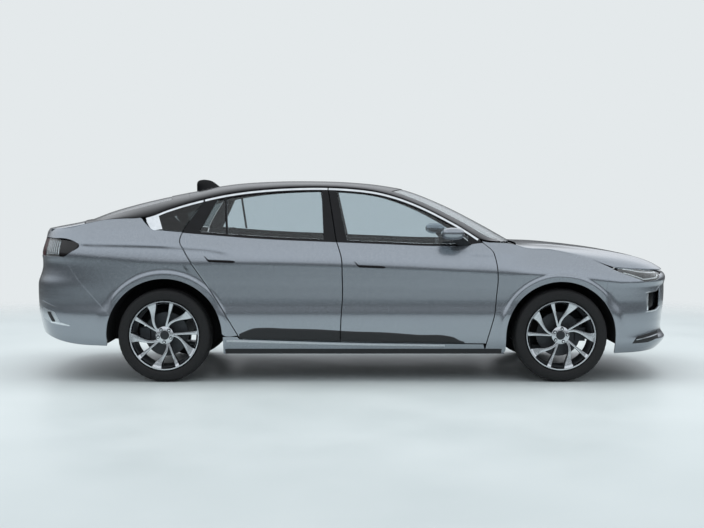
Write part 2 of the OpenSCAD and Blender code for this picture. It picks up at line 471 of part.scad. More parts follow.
module tail_lamps() {
    s = [1, 0.97, 0.93, 0.89, 0.84, 0.76, 0.68, 0.6, 0.53, 0.47];
    function face(a, z, t) = wrap_pt(a, z, t, rx(-2032), tail_x(z));
    g = [for (v = [0, 0.33, 0.66, 1]) [for (a = s) let (x = face(a, 960, 0)[0])
        [a, lerp(lookup(x, tail_edge_low), lookup(x, tail_edge_top), v)]]];
    color("#5a1014") both() sheet([for (r = g) [for (q = r) face(q[0], q[1], 2)]],
        [for (r = g) [for (q = r) face(q[0], q[1], 60)]]);
}

// Hood and boot lid
hood_rows = [for (r = [[1222, 62, 2], [1330, 90, 2.2], [1450, 130, 2.6], [1580, 190, 3.2], [1700, 260, 4],
    [1800, 335, 4.8], [1890, 405, 5.5], [1946, 466, 6]]) [at(r[0]), r[1], r[2]]];
hood_across = [1, 0.96, 0.88, 0.76, 0.6, 0.4, 0.2, 0, -0.2, -0.4, -0.6, -0.76, -0.88, -0.96, -1];
function hood_pt(r, v, t) =
    let (x = r[0], z = belt(x) + 1, q = station(x, r[1], r[2], v, side_y(x, z) - gap2 - 1, z, curve(hood_line, x + r[1])))
    [q[0], q[1] * (1 - 0.8 * t / half_w), q[2] - t];
module hood() {
    color("#7d8891") sheet([for (r = hood_rows) [for (v = hood_across) hood_pt(r, v, 0)]],
        [for (i = [0 : 7]) [for (v = hood_across) hood_pt(hood_rows[i], v * 0.985, i == 7 || abs(v) == 1 ? 4 : 18)]]);
}
lid_rows = [for (r = [[-1992, -94], [-2080, -80], [-2170, -72], [-2236, -84], [-2285, -101]]) [at(r[0]), r[1]]];
lid_face = [[1108, 0.7], [1084, 0.64], [1066, 0.59], [1000, 0.59], [940, 0.59], [926, 0.53], [860, 0.53], [796, 0.53]];
lid_across = [-1, -0.96, -0.87, -0.7, -0.45, -0.2, 0, 0.2, 0.45, 0.7, 0.87, 0.96, 1];
function lid_top(r, v, t) =
    let (x = r[0], q = station(x, r[1], 2.4, v, rail_y(x) - gap2, rail(x) + 2, crown(x + r[1])))
    [q[0] + (r[0] < at(-2260) ? 0.6 * t : 0), q[1] * (1 - t / half_w), q[2] - t];
function lid_back(f, v, t) =
    let (y = v * f[1] * (half_w - 9), c = pow(1 - pow(abs(y) / (half_w - 60), 2.5), 1 / 14))
    [t - tail_x(f[0]) * c, y * (1 - t / half_w), f[0] + (f[0] < 800 ? t * 0.2 : 0)];
module boot_lid() {
    color("#7d8891") sheet(concat([for (r = lid_rows) [for (v = lid_across) lid_top(r, v, 0)]],
                                  [for (f = lid_face) [for (v = lid_across) lid_back(f, v, 0)]]),
                           concat([for (r = lid_rows) [for (v = lid_across) lid_top(r, v, 24)]],
                                  [for (f = lid_face) [for (v = lid_across) lid_back(f, v, 24)]]));
}
// Cowl below the windscreen, carried by the firewall, with two wipers lying on it
module cowl() {
    c = [for (k = [0 : 12]) lerp(0.9, -0.9, k / 12)];
    r = roof_rows[22];
    function rear(v, t) =
        let (q = station(r[0], r[1], 2.4, v, rail_y(r[0]), rail(r[0]), crown(r[0] + r[1]))) q - [30, 0, t + 14];
    function front(v, t) = let (p = hood_pt(hood_rows[0], v, 0)) p + [30, 0, -t - 26];
    color("#202326") {
        sheet([for (u = [0, 0.5, 1]) [for (v = c) lerp(rear(v, 0), front(v, 0), u)]],
              [for (u = [0, 0.5, 1]) [for (v = c) lerp(rear(v, 16), front(v, 16), u)]]);
        translate([mx(1000) + 34 + seat_gap, -560, 940]) cube([fx(1200) - mx(1000) - 34, 1120, 74]);
        wipers();
    }
}
module wipers() {
    for (y = [-330, 260]) translate([fx(1215), y, 996]) {
        cylinder(r = 12, h = 44, $fn = 24);
        translate([0, 0, 30]) rotate([0, 0, 96]) translate([0, -5, 0]) cube([420, 10, 10]);
    }
}
module antenna_fin() {
    x = at(-1160);
    hull() {
        translate([x - 90, -14, crown(x - 90) - 24]) cube([10, 28, 30]);
        translate([x + 95, -8, crown(x + 95) - 30]) cube([10, 16, 30]);
        translate([x - 92, -3, roof_height + 6]) cube([30, 6, 12]);
    }
}

// Wheels turn about their spindles
module rim_profile() {
    polygon([[rim_r, 98], [rim_r, 106], [rim_r - 6, 114], [rim_r - 16, 114], [rim_r - 24, 104], [rim_r - 24, 36], [rim_r - 36, -60],
        [rim_r - 26, -100], [rim_r - 16, -114], [rim_r - 4, -114], [rim_r, -106], [rim_r, -98], [rim_r - 12, -96],
        [rim_r - 24, -60], [rim_r - 11, 36], [rim_r - 11, 96]]);
}
function swing(r, a) = [r * cos(a), r * sin(a)];
// Each spoke as rows of radius, middle angle and half width in degrees: a curved blade and a thin straight one
blade = [[56, 33, 9], [90, 27, 6.2], [120, 19.5, 5.4], [150, 12, 5.4], [180, 6, 6.2], [210, 2, 7.4],
    [rim_r - 17, 0, 8.6]];
thin = [[56, 40, 5.5], [120, 38, 3.6], [rim_r - 17, 37, 3.4]];
module spoke(p) {
    polygon(concat([for (q = p) swing(q[0], q[1] - q[2])], [for (q = back(p)) swing(q[0], q[1] + q[2])]));
}
module spokes() {
    for (k = [0 : spoke_pairs - 1]) rotate(k * 360 / spoke_pairs) {
        spoke(blade);
        spoke(thin);
    }
}
// Wheel along its own axis, outer face at +Z; the round parts' seams lie between two spokes
module rim_solid(flip) {
    seam = flip ? 126 : 54;
    rotate(flip ? -40 : 40) difference() {
        union() {
            rotate(seam) rotate_extrude($fn = 96) rim_profile();
            translate([0, 0, 52]) linear_extrude(40) if (flip) mirror([1, 0]) spokes(); else spokes();
            rotate(seam) translate([0, 0, 34]) cylinder(r = 66, h = 60, $fn = 64);
            rotate(seam) translate([0, 0, -26]) cylinder(r = 60, h = 61, $fn = 64);
            rotate(seam) translate([0, 0, -38]) cylinder(r = 165, h = 26, $fn = 96);
        }
        rotate(seam) translate([0, 0, -60]) cylinder(r = spindle_r + 0.05, h = 130, $fn = 64);
    }
}
module wheel_at(x, left) {
    translate([x, left ? wheel_y : -wheel_y, hub_z]) rotate([left ? -90 : 90, 0, 0]) children();
}
module tyre_solid() {
    w = tyre_w / 2;
    rotate_extrude($fn = 96) polygon([[rim_r + 0.3, -100], [rim_r + 0.3, 100], [rim_r + 8, 116], [rim_r + 40, w],
        [tyre_r - 22, w - 4], [tyre_r - 6, w - 18], [tyre_r, w - 45], [tyre_r, 45 - w], [tyre_r - 6, 18 - w],
        [tyre_r - 22, 4 - w], [rim_r + 40, -w], [rim_r + 8, -116]]);
}
module rim_front_right() { color("#aab0b5") wheel_at(axle_f, false) rim_solid(false); }
module rim_front_left() { color("#aab0b5") wheel_at(axle_f, true) rim_solid(true); }
module rim_rear_right() { color("#aab0b5") wheel_at(axle_r, false) rim_solid(false); }
module rim_rear_left() { color("#aab0b5") wheel_at(axle_r, true) rim_solid(true); }
module tyre_front_right() { color("#1a1b1c") wheel_at(axle_f, false) tyre_solid(); }
module tyre_front_left() { color("#1a1b1c") wheel_at(axle_f, true) tyre_solid(); }
module tyre_rear_right() { color("#1a1b1c") wheel_at(axle_r, false) tyre_solid(); }
module tyre_rear_left() { color("#1a1b1c") wheel_at(axle_r, true) tyre_solid(); }

// Steered knuckle: spindle, upright with two kingpin ends, caliper
module knuckle() {
    translate([axle_f, 0, hub_z]) {
        translate([0, pin_y - 24, 0]) rotate([-90, 0, 0]) cylinder(r = spindle_r, h = 94, $fn = 64);
        translate([-26, pin_y - 24, -117]) cube([52, 44, 234]);
        translate([0, pin_y, -150]) cylinder(r = 14, h = 300, $fn = 48);
        translate([20, pin_y - 20, -30]) cube([170, 24, 60]);
        translate([112, wheel_y - 66, -50]) cube([78, 24, 100]);
        translate([170, wheel_y - 66, -50]) cube([24, 76, 100]);
        translate([120, wheel_y - 8, -50]) cube([74, 18, 100]);
    }
}
module knuckle_right() { color("#5c6166") on_side(false) knuckle(); }
module knuckle_left() { color("#5c6166") on_side(true) knuckle(); }
module front_suspension() {
    color("#3a3d41") both() for (a = [[-142, 433], [118, 473]]) translate([axle_f, 0, hub_z + a[0]]) difference() {
        hull() {
            translate([0, pin_y, 0]) cylinder(r = 26, h = 24, $fn = 32);
            translate([-130, a[1], 0]) cylinder(r = 20, h = 24, $fn = 24);
            translate([130, a[1], 0]) cylinder(r = 20, h = 24, $fn = 24);
        }
        translate([0, pin_y, -1]) cylinder(r = 14.05, h = 26, $fn = 48);
    }
}
module rear_suspension() {
    color("#3a3d41") translate([axle_r, 0, hub_z]) {
        rotate([90, 0, 0]) translate([0, 0, -wheel_y - 5]) cylinder(r = spindle_r, h = 2 * wheel_y + 10, $fn = 64);
        translate([-40, -560, -80]) cube([110, 1120, 120]);
        both() {
            translate([-30, wheel_y - 95, -40]) cube([60, 44, 80]);
            translate([-190, wheel_y - 95, -40]) cube([190, 24, 80]);
            translate([-190, wheel_y - 95, -50]) cube([78, 53, 100]);
            translate([-194, wheel_y - 95, -50]) cube([24, 105, 100]);
            translate([-194, wheel_y - 8, -50]) cube([74, 18, 100]);
            translate([15, 470, 30]) cylinder(r = 28, h = 450 - hub_z - 30 - seat_gap, $fn = 40);
        }
    }
}

// Underbody: floor, tunnel, firewall, rails, boot floor, door posts
module floor_pan() {
    w = half_w - 190 - seat_gap;
    fw = mx(1000);
    bw = mx(-960);
    g = ground_clearance;
    latch = hood_pt(hood_rows[6], 0, 18);
    strike = lid_back(lid_face[6], 0, 24);
    color("#2b2e31") {
        translate([bw, -w, g + 10]) cube([fw + 40 - bw, 2 * w, 36]);
        translate([bw, -120, g + 40]) cube([fw + 40 - bw, 240, 110]);
        translate([fw, -w, g + 12]) cube([34, 2 * w, 930 - g]);
        translate([bw - 40, -500, g + 12]) cube([50, 1000, 540 - g]);
        translate([rx(-2300), -520, 520]) cube([bw - rx(-2300), 1040, 26]);
        translate([axle_f - 160, -432 + seat_gap + 20, 195]) cube([320, 824 - 2 * seat_gap, 56]);
        translate([fx(2250), -640, 440]) cube([50, 1280, 90]);
        translate([rx(-2350), -618, 470]) cube([60, 1236, 80]);
        translate([latch[0] - 40, -30, 500]) cube([36, 60, latch[2] - 530]);
        translate([latch[0] - 30, 0, 500]) cylinder(r = 5, h = hood_pt(hood_rows[6], 0, 18)[2] - 492.7, $fn = 24);
        translate([rx(-2330), -20, 500]) cube([30, 40, 380]);
        translate([strike[0] + seat_gap, 0, 860]) rotate([0, 90, 0]) cylinder(r = 8, h = rx(-2310) - strike[0], $fn = 24);
        both() {
            translate([fw + 20, 388, 430]) cube([fx(2290) - fw - 20, 64, 110]);
            translate([axle_f - 160, 388, 195]) cube([60, 24.7, 300]);
            translate([axle_f + 100, 388, 195]) cube([60, 24.7, 300]);
            translate([rx(-2300), 440, 450]) cube([bw - rx(-2300), 60, 80]);
            translate([fw, w - 80, g + 12]) cube([70, 80, 750]);
            for (x = [mx(-720), mx(840)]) translate([x - 35, w - 110, g - 10]) cube([70, 70, 24]);
            translate([fw + 30, w - 60, 600]) cube([fx(1130) - fw - 30, 60, 40]);
            translate([hinge_f + 14, w - 10, 600])
                cube([fx(1130) - hinge_f - 14, side_y(fx(1130), 620) - skin_t - 1 - w + 10, 40]);
        }
    }
}
module engine_block() {
    color("#4a4e52") translate([fx(1300), -388 + seat_gap, 262]) cube([560, 776 - 2 * seat_gap, 618]);
}
function post_deep(q) = seat_gap + lerp(door_t + 36, frame_t + 0.5, smooth((q[1] - belt(q[0]) - 130) / 90));
module b_pillars() {
    function col(z, k) = mid_cut(z) + [-62, -30, 0, 30, 62][k];
    zs = [low_cut(hinge_r) + seat_gap, 420, 560, 720, 880, belt(hinge_r), belt(hinge_r) + 130, 1200, 1260, 1330,
        rail(mid_cut(1440)) - 24];
    function spot(z, k) = let (x = col(z, k)) [x, z == zs[0] ? low_cut(x) + seat_gap : z];
    color("#17181a") both()
        sheet([for (k = [0 : 4]) [for (z = zs) let (q = spot(z, k)) side_pt(q, post_deep(q))]],
              [for (k = [0 : 4]) [for (z = zs) let (q = spot(z, k)) side_pt(q, post_deep(q) + 46)]]);
}
module exhaust() {
    color("#6a6d70") {
        translate([rx(-2280), -420, 350]) rotate([0, 90, 0]) cylinder(r = 70, h = 420, $fn = 48);
        translate([rx(-1900), -420, 312]) rotate([0, 90, 0]) cylinder(r = 28, h = 380, $fn = 32);
        translate([rx(-2340), -420, 330]) rotate([0, 90, 0]) cylinder(r = 34, h = 100, $fn = 40);
        translate([rx(-2100), -460, 400]) cube([40, 16, 50 - seat_gap]);
    }
}
module arch_liners() {
    color("#141516") both() {
        liner(axle_f, front_arch_r + 8, 452 + seat_gap, 245, half_w - 76);
        liner(axle_r, rear_arch_r + 8, 520 + seat_gap, 215, half_w - 68);
    }
}
module liner(x, r, y0, hole, y1) {
    translate([x, 0, hub_z - 6]) difference() {
        rotate([-90, 0, 0]) translate([0, 0, y0]) difference() {
            cylinder(r = r + liner_t, h = y1 - y0, $fn = 96);
            translate([0, 0, 6]) cylinder(r = r, h = 600, $fn = 96);
            translate([0, 0, -1]) cylinder(r = hole, h = 20, $fn = 64);
        }
        translate([-600, 0, -760]) cube([1200, 1200, 700]);
    }
}
// Cabin
module dashboard() {
    x = mx(1000) - seat_gap;
    w = half_w - 247.5;
    color("#232529") {
        hull() {
            translate([x - 240, -w, 780]) cube([240, 2 * w, 60]);
            translate([x - 150, -w, 700]) cube([150, 2 * w, 280]);
        }
        translate([x - 200, 370, 800]) rotate([0, -68, 0]) cylinder(r = 26, h = 150, $fn = 40);
    }
}
module steering_wheel() {
    color("#1b1c1e") translate([mx(1000) - seat_gap - 200, 370, 800]) rotate([0, -68, 0]) translate([0, 0, 120]) difference() {
        union() {
            translate([0, 0, 40]) rotate_extrude($fn = 72) translate([176, 0]) circle(r = 14, $fn = 24);
            cylinder(r = 60, h = 52, $fn = 48);
            for (a = [0, 90, 270]) rotate(a) translate([40, -16, 32]) cube([126, 32, 14]);
        }
        translate([0, 0, -1]) cylinder(r = 26.09, h = 31 + seat_gap, $fn = 40);
    }
}
module seat(y, x, w) {
    translate([x, y, 0]) {
        hull() {
            translate([0, -w / 2, 420]) cube([480, w, 20]);
            translate([40, -w / 2 + 20, w > 800 ? 360 : 300]) cube([400, w - 40, 20]);
            translate([440, -w / 2 + 20, 470]) cube([40, w - 40, 20]);
        }
        hull() {
            translate([-20, -w / 2 + 10, 400]) cube([120, w - 20, 60]);
            translate([-170, -w / 2 + 50, 950]) cube([80, w - 100, 60]);
        }
        hull() {
            translate([-180, -120, 990]) cube([60, 240, 30]);
            translate([-190, -110, 1110]) cube([60, 220, 30]);
        }
        for (b = w > 800 ? [-w / 2 + 40, 150] : [-w / 2 + 40])
            translate([60, b, ground_clearance + 46 + seat_gap]) cube([360, w > 800 ? w / 2 - 190 : w - 80, w > 800 ? 120 : 80]);
    }
}
module front_seats() { color("#3a3c40") for (y = [-370, 370]) seat(y, mx(60), 500); }
module rear_seat() { color("#3a3c40") seat(0, mx(-820), 1180); }

floor_pan();
sills();
b_pillars();
upper_frame();
roof();
windscreen();
rear_window();
quarter_windows();
rear_quarters();
front_fenders();
cowl();
front_bumper();
grille();
headlamps();
rear_bumper();
tail_lamps();
arch_liners();
engine_block();
front_suspension();
rear_suspension();
exhaust();
dashboard();
front_seats();
rear_seat();
front_door_right();
front_door_left();
rear_door_right();
rear_door_left();
front_glass_right();
front_glass_left();
rear_glass_right();
rear_glass_left();
mirror_right();
mirror_left();
hood();
boot_lid();
knuckle_right();
knuckle_left();
rim_front_right();
rim_front_left();
rim_rear_right();
rim_rear_left();
tyre_front_right();
tyre_front_left();
tyre_rear_right();
tyre_rear_left();
steering_wheel();
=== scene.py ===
"""Dress of a midsize fastback sedan: panels, glass, lamps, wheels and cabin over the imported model.

Shapes are worked out in millimetres on the same body surface as the solids and become metres in the mesh.
+X is the nose, +Y the car's left, +Z up. Pieces are drawn for the left side and mirrored for the right.
"""
import math
from functools import partial

import bpy
import numpy as np
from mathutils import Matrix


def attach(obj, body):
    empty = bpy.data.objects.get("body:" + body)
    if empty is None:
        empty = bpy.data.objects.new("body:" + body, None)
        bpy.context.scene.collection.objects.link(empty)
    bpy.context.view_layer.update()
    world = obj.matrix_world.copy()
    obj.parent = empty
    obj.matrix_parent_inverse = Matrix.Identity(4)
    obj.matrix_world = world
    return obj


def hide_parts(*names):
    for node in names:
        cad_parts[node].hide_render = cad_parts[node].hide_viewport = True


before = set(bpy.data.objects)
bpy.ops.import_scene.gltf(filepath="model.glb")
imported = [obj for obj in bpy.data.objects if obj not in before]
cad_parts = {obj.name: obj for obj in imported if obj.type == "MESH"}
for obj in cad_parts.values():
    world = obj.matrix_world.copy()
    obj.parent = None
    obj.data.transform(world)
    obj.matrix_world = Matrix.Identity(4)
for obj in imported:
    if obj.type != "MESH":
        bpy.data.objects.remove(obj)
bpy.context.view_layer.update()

# Sizes in millimetres
HALF_LENGTH = 2467.5
HALF_WIDTH = 937.5
AXLE_F, AXLE_R = 1551.5, -1393.5
HUB_Z, WHEEL_Y = 346.0, 800.0
ARCH_F, ARCH_R, ARCH_Z = 408.0, 430.0, 340.0
TYRE_R, TYRE_W, RIM_R = 346.0, 245.0, 262.0
SILL_Z = 205.0
GAP, HALF_GAP = 6.0, 3.0
DOOR_T, FRAME_T, SKIN_T, ROOF_T, GLASS_T = 100.0, 40.0, 10.0, 34.0, 6.0
HINGE_F, HINGE_R = AXLE_F - 471.0, AXLE_R + 1323.0
LEFT, RIGHT = 1, -1
SIDE_NAME = {LEFT: "left", RIGHT: "right"}
# Lip round a wheel opening, glass edge below the rail, angle from which an edge is shaded sharp
LIP, GLASS_HEAD, SHARP = 9.0, 30.0, math.radians(38)

# Lines of the body: (x, height), (height, setback) or (x, inset)
RAIL = [(-2400, 1118), (-2330, 1128), (-2150, 1142), (-1990, 1172), (-1880, 1195), (-1800, 1206),
        (-1700, 1211), (-1600, 1214), (-1540, 1224), (-1478, 1241), (-1400, 1272), (-1250, 1322),
        (-1100, 1362), (-1000, 1385), (-850, 1411), (-600, 1437), (-400, 1447), (-250, 1449), (0, 1438),
        (100, 1428), (200, 1412), (300, 1387), (400, 1354), (500, 1314), (600, 1267), (690, 1220),
        (786, 1167), (881, 1107), (940, 1068), (1000, 1048), (1077, 1040)]
BELT = [(-2400, 1105), (-2100, 1122), (-1800, 1130), (-1400, 1124), (-1250, 1108), (-1000, 1087),
        (-750, 1068), (-500, 1054), (-250, 1044), (0, 1034), (250, 1024), (650, 1010), (820, 1012),
        (940, 1030), (1077, 1034), (1210, 1022), (1290, 995), (1480, 982), (1600, 958), (1800, 905),
        (1960, 852), (2100, 830)]
SHOULDER = [(-2400, 960), (-1900, 925), (-1394, 885), (-860, 885), (250, 855), (700, 835), (1000, 820),
            (1500, 790), (2000, 740)]
BELT_INSET = [(-2400, 40), (-1900, 58), (-1400, 68), (800, 68), (1000, 78), (1250, 108), (1900, 70)]
CROWN = [(-2400, 1130), (-2300, 1150), (-2080, 1195), (-1900, 1262), (-1722, 1315), (-1500, 1368),
         (-1300, 1408), (-975, 1470), (-600, 1497), (-325, 1500), (0, 1489), (217, 1468), (430, 1428),
         (700, 1325), (1000, 1175), (1252, 1034)]
HOOD_MID = [(1200, 1036), (1300, 1025), (1450, 1018), (1675, 1000), (1900, 975), (2100, 940), (2200, 917),
            (2280, 890), (2355, 853), (2430, 796)]
SECTION = [(205, 72), (290, 36), (400, 16), (500, 6), (580, 11), (680, 9.5), (780, 5), (870, 0)]
NOSE = [(200, 87), (255, 27), (300, 0), (345, 27), (450, 31), (600, 15), (700, 15), (800, 26), (830, 77),
        (860, 117), (900, 197)]
TAIL = [(280, 67), (340, 42), (450, 15), (580, 2), (660, 0), (730, 4), (790, 27), (860, 42), (950, 32),
        (1060, 62), (1140, 82)]
DOOR_FRONT = [(205, -98), (310, -75), (400, -50), (500, -25), (650, -10), (750, 0), (850, -5), (930, -20),
              (975, -38), (1010, -78), (1050, -128)]
DOOR_MID = [(205, -20), (385, -15), (500, -10), (600, -2), (700, 0), (800, -2), (930, -10), (1000, -30),
            (1045, -45), (1130, -60), (1250, -80), (1460, -115)]
DOOR_REAR = [(300, -820), (350, -850), (605, -1000), (985, -1250), (1035, -1276), (1075, -1274),
             (1110, -1260), (1340, -1118), (1400, -1078)]
DOOR_LOW = [(-900, 318), (0, 292), (1000, 278)]
# Bow of the roof's cross lines: (edge x, how far the middle lies ahead)
ROOF_BOW = [(-1982, -98), (-1880, -195), (-1800, -180), (-1700, -165), (-1560, -140), (-1400, -110),
            (-1330, -95), (-1250, -75), (-1215, -70), (-1000, -35), (-800, -15), (-550, 0), (-325, 0),
            (-100, 10), (100, 60), (225, 125), (262, 140), (330, 150), (500, 165), (690, 175), (880, 178),
            (1000, 178), (1077, 175)]
HOOD_BOW = [(1222, 62), (1330, 90), (1450, 130), (1580, 190), (1700, 260), (1800, 335), (1890, 405),
            (1946, 466)]
HOOD_POWER = [(1222, 2), (1330, 2.2), (1450, 2.6), (1580, 3.2), (1700, 4), (1800, 4.8), (1890, 5.5),
              (1946, 6)]
LID_BOW = [(-2285, -101), (-2236, -84), (-2170, -72), (-2080, -80), (-1992, -94)]
LID_FACE = [(796, 0.53), (926, 0.53), (940, 0.59), (1066, 0.59), (1084, 0.64), (1108, 0.7)]
LAMP_LOW = [(0, 796), (0.5, 798), (0.57, 790), (0.64, 754), (0.8, 742), (0.93, 800), (1, 840)]
LAMP_TOP = [(0, 806), (0.5, 808), (0.57, 812), (0.735, 828), (0.9, 846), (1, 850)]
TAIL_LOW = [(0, 786), (0.382, 786), (0.415, 918), (0.46, 922), (0.475, 933), (0.9, 933), (1, 928)]
TAIL_LAMP_LOW = [(-2150, 930.5), (-2085, 968), (-2032, 1004)]
TAIL_LAMP_TOP = [(-2300, 1063), (-2230, 1061), (-2045, 1041), (-2032, 1030)]
# Front end and middle height of a tail lamp
TAIL_LAMP_X, TAIL_LAMP_Z = -2032.0, 960.0
# Creases of the flank: (line, first x, last x, length over which its ends fade)
CREASES = [([(-2060, 1034), (-1250, 1006), (-1050, 990), (-880, 958)], -2075, -860, 120),
           ([(820, 958), (1300, 944)], 800, 1290, 110)]


def curve(table, x):
    """Smooth curve through rising points: cubic pieces whose slope at a point weighs its two chords."""
    xs, ys = np.array(table, float).T
    h = np.diff(xs)
    chord = np.diff(ys) / h
    middle = (chord[:-1] * h[1:] + chord[1:] * h[:-1]) / (h[:-1] + h[1:])
    slope = np.concatenate([chord[:1], middle, chord[-1:]])
    q = np.clip(x, xs[0], xs[-1])
    i = np.clip(np.searchsorted(xs, q, side="right") - 1, 0, len(h) - 1)
    t = (q - xs[i]) / h[i]
    a, b, d = slope[i] * h[i], slope[i + 1] * h[i], ys[i + 1] - ys[i]
    return ys[i] + a * t + (3 * d - 2 * a - b) * t ** 2 + (a + b - 2 * d) * t ** 3


def straight(table, x):
    """Straight lines between the points of a table."""
    xs, ys = np.array(table, float).T
    return np.interp(x, xs, ys)


def smooth(t):
    """Soft step from 0 to 1."""
    s = np.clip(t, 0, 1)
    return s * s * (3 - 2 * s)


def row(n, first=0, last=1):
    """Row of n even steps."""
    return np.linspace(first, last, n)[None]


def column(n, first=0, last=1):
    """Column of n even steps."""
    return np.linspace(first, last, n)[:, None]


def circle(n):
    """Angles of n points round a circle."""
    return np.linspace(0, 2 * np.pi, n, endpoint=False)


def mix(a, b, t):
    """Straight blend of a and b."""
    return a + (b - a) * t


# Heights along the car and seams of the doors
rail, belt, crown = partial(curve, RAIL), partial(curve, BELT), partial(curve, CROWN)
rear_cut, low_cut = partial(curve, DOOR_REAR), partial(curve, DOOR_LOW)


def front_cut(z):
    """Seam ahead of the front door."""
    return HINGE_F + curve(DOOR_FRONT, z)


def mid_cut(z):
    """Seam between the doors."""
    return HINGE_R + curve(DOOR_MID, z)


# Body surface
def tuck(x, z):
    """Inward offset of the side: lower section, then the shoulder's turn, then the lean of the glass."""
    b, d = belt(x), curve(BELT_INSET, x)
    w = np.minimum(curve(SHOULDER, x), b - 60)
    h = z - b
    low = curve(SECTION, np.where(z > 580, 580 + (z - 580) * 290 / (w - 580), z))
    turn = d * np.clip((z - w) / (b - w), 0, None) ** 1.5
    return np.where(z > b, d + 0.58 * h + 0.00013 * h * h, np.where(z > w, turn, low))


def flare(x, z):
    """Lip round a wheel opening, flat for 36 mm and then fading within 30 mm."""
    ahead = x > 0
    r = np.hypot(x - np.where(ahead, AXLE_F, AXLE_R), z - ARCH_Z) - np.where(ahead, ARCH_F, ARCH_R)
    return LIP * smooth((66 - r) / 30)


def nose_x(z):
    """Distance of the nose from mid length."""
    return HALF_LENGTH - curve(NOSE, z)


def tail_x(z):
    """Distance of the tail from mid length."""
    return HALF_LENGTH - curve(TAIL, z)


def side_y(x, z):
    """Half width of the body: full width less the tuck, drawn in at the ends by a fourteenth-power taper."""
    end = np.where(x > 0, nose_x(z), tail_x(z))
    taper = np.clip(1 - (np.abs(x) / end) ** 14, 0, None) ** 0.4
    return (HALF_WIDTH - LIP - tuck(x, z)) * taper + flare(x, z)


def crease(x, z, line, x0, x1, fade):
    """Step of 6 mm that overhangs 28 mm below a line, dies out 90 mm above it and fades at both ends."""
    d = z - curve(line, x)
    ends = smooth((x - x0) / fade) * smooth((x1 - x) / fade)
    return 6 * ends * smooth((d + 28) / 28) * (1 - smooth(d / 90))


def on_side(xz, out=0.0):
    """Points of the left side for (x, z) pairs, moved outward by out."""
    x, z = xz[..., 0], xz[..., 1]
    lines = sum(crease(x, z, *line) for line in CREASES)
    return np.stack([x, side_y(x, z) + out + lines, z], -1)


def wrap(s, z, edge, end, deep=0.0):
    """Superellipse round an end: s is 0 at the middle and 1 at the wheel opening's edge."""
    e = end - deep
    a = s * np.arccos(np.minimum(1, np.abs(edge) / e) ** 7)
    x = np.sign(edge) * e * np.cos(a) ** (1 / 7)
    y = (HALF_WIDTH - LIP - deep - tuck(x, z)) * np.abs(np.sin(a)) ** 0.8 + flare(x, z)
    return np.stack([x, np.sign(a) * y, z + 0 * x], -1)


def front_edge(z):
    """Rear end of the front bumper: the wheel opening, then a line that leans forward."""
    c = np.clip((np.minimum(z, 584) - ARCH_Z) / ARCH_F, 0, 1)
    return AXLE_F + ARCH_F * np.sqrt(1 - c * c) + straight([(584, 0), (690, 5), (785, 20), (842, 60)], z)


def rear_edge(z):
    """Front end of the rear bumper: the wheel opening, then a line that leans back."""
    c = np.clip((np.minimum(z, 500) - ARCH_Z) / ARCH_R, 0, 1)
    return AXLE_R - ARCH_R * np.sqrt(1 - c * c) - straight([(500, 0), (610, 107), (770, 247), (916, 347)], z)


def on_nose(s, z, deep=0.0):
    """Point of the front bumper at share s, sunk by deep."""
    return wrap(s, z, front_edge(z) + 0.3, nose_x(z), deep)


def on_tail(s, z, deep=0.0):
    """Point of the rear bumper at share s, sunk by deep."""
    return wrap(s, z, rear_edge(z) - 0.3, tail_x(z), deep)


def on_tail_lamp(s, z, deep=0.0):
    """Point of a tail lamp at share s, sunk by deep."""
    return wrap(s, z, TAIL_LAMP_X + 0 * z, tail_x(z), deep)


def end_share(x, edge, end):
    """Share round an end at which the side view shows the distance x from mid length."""
    return np.arccos(np.minimum(1, x / end) ** 7) / np.arccos(np.minimum(1, edge / end) ** 7)


def station(x, bow, power, v, y_edge, z_edge, z_mid):
    """Cross line of a top panel: v runs from 1 at the left edge to -1, the middle bows along x and up."""
    a = np.abs(v)
    rise = np.clip(1 - a ** 2.6, 0, None) ** 0.625
    return np.stack([x + bow * (1 - a ** power), y_edge * v, z_edge + (z_mid - z_edge) * rise], -1)


def rail_y(x):
    """Half width at the roof rail, drawn in at the windscreen's foot."""
    return side_y(x, rail(x)) - 90 * smooth((x - 900) / 180)


def on_roof(x, v, drop=0.0):
    """Roof surface between the rails, sunk by drop."""
    bow = curve(ROOF_BOW, x)
    p = station(x, bow, 2.4, v, rail_y(x), rail(x) + HALF_GAP, crown(x + bow) + HALF_GAP)
    p[..., 2] -= drop
    return p


def pillar_share(x):
    """Inner edge of the black frame beside the glass as a share of the rail's width."""
    return 0.87 - 0.11 * smooth((-1150 - x) / 250) + 0.09 * smooth((-1600 - x) / 250)


# Mesh building
def quads(n, m, around=False):
    """Faces of an n by m grid of points; around joins the last row to the first."""
    ids = np.arange(n * m).reshape(n, m)
    if around:
        ids = np.vstack([ids, ids[:1]])
    return np.stack([ids[:-1, :-1], ids[:-1, 1:], ids[1:, 1:], ids[1:, :-1]], -1).reshape(-1, 4)


def sheet(points, around=False, keep=None):
    """Open surface from a grid of points; keep is a mask of the cells that stay."""
    n, m = points.shape[:2]
    faces = quads(n, m, around)
    return points.reshape(-1, 3), faces if keep is None else faces[keep.ravel()]


def shell(outer, inner, around=False):
    """Closed solid between two grids of the same size, with walls along the open edges."""
    n, m = outer.shape[:2]
    ids = np.arange(n * m).reshape(n, m)
    if around:
        loops = [np.append(ids[:, 0], ids[0, 0]), np.append(ids[::-1, -1], ids[-1, -1])]
    else:
        loops = [np.concatenate([ids[:, 0], ids[-1, 1:], ids[-2::-1, -1], ids[0, -2::-1]])]
    faces = quads(n, m, around)
    walls = [np.stack([k[:-1], k[1:], k[1:] + n * m, k[:-1] + n * m], -1) for k in loops]
    points = np.concatenate([outer.reshape(-1, 3), inner.reshape(-1, 3)])
    return points, np.concatenate([faces, faces[:, ::-1] + n * m, *walls])


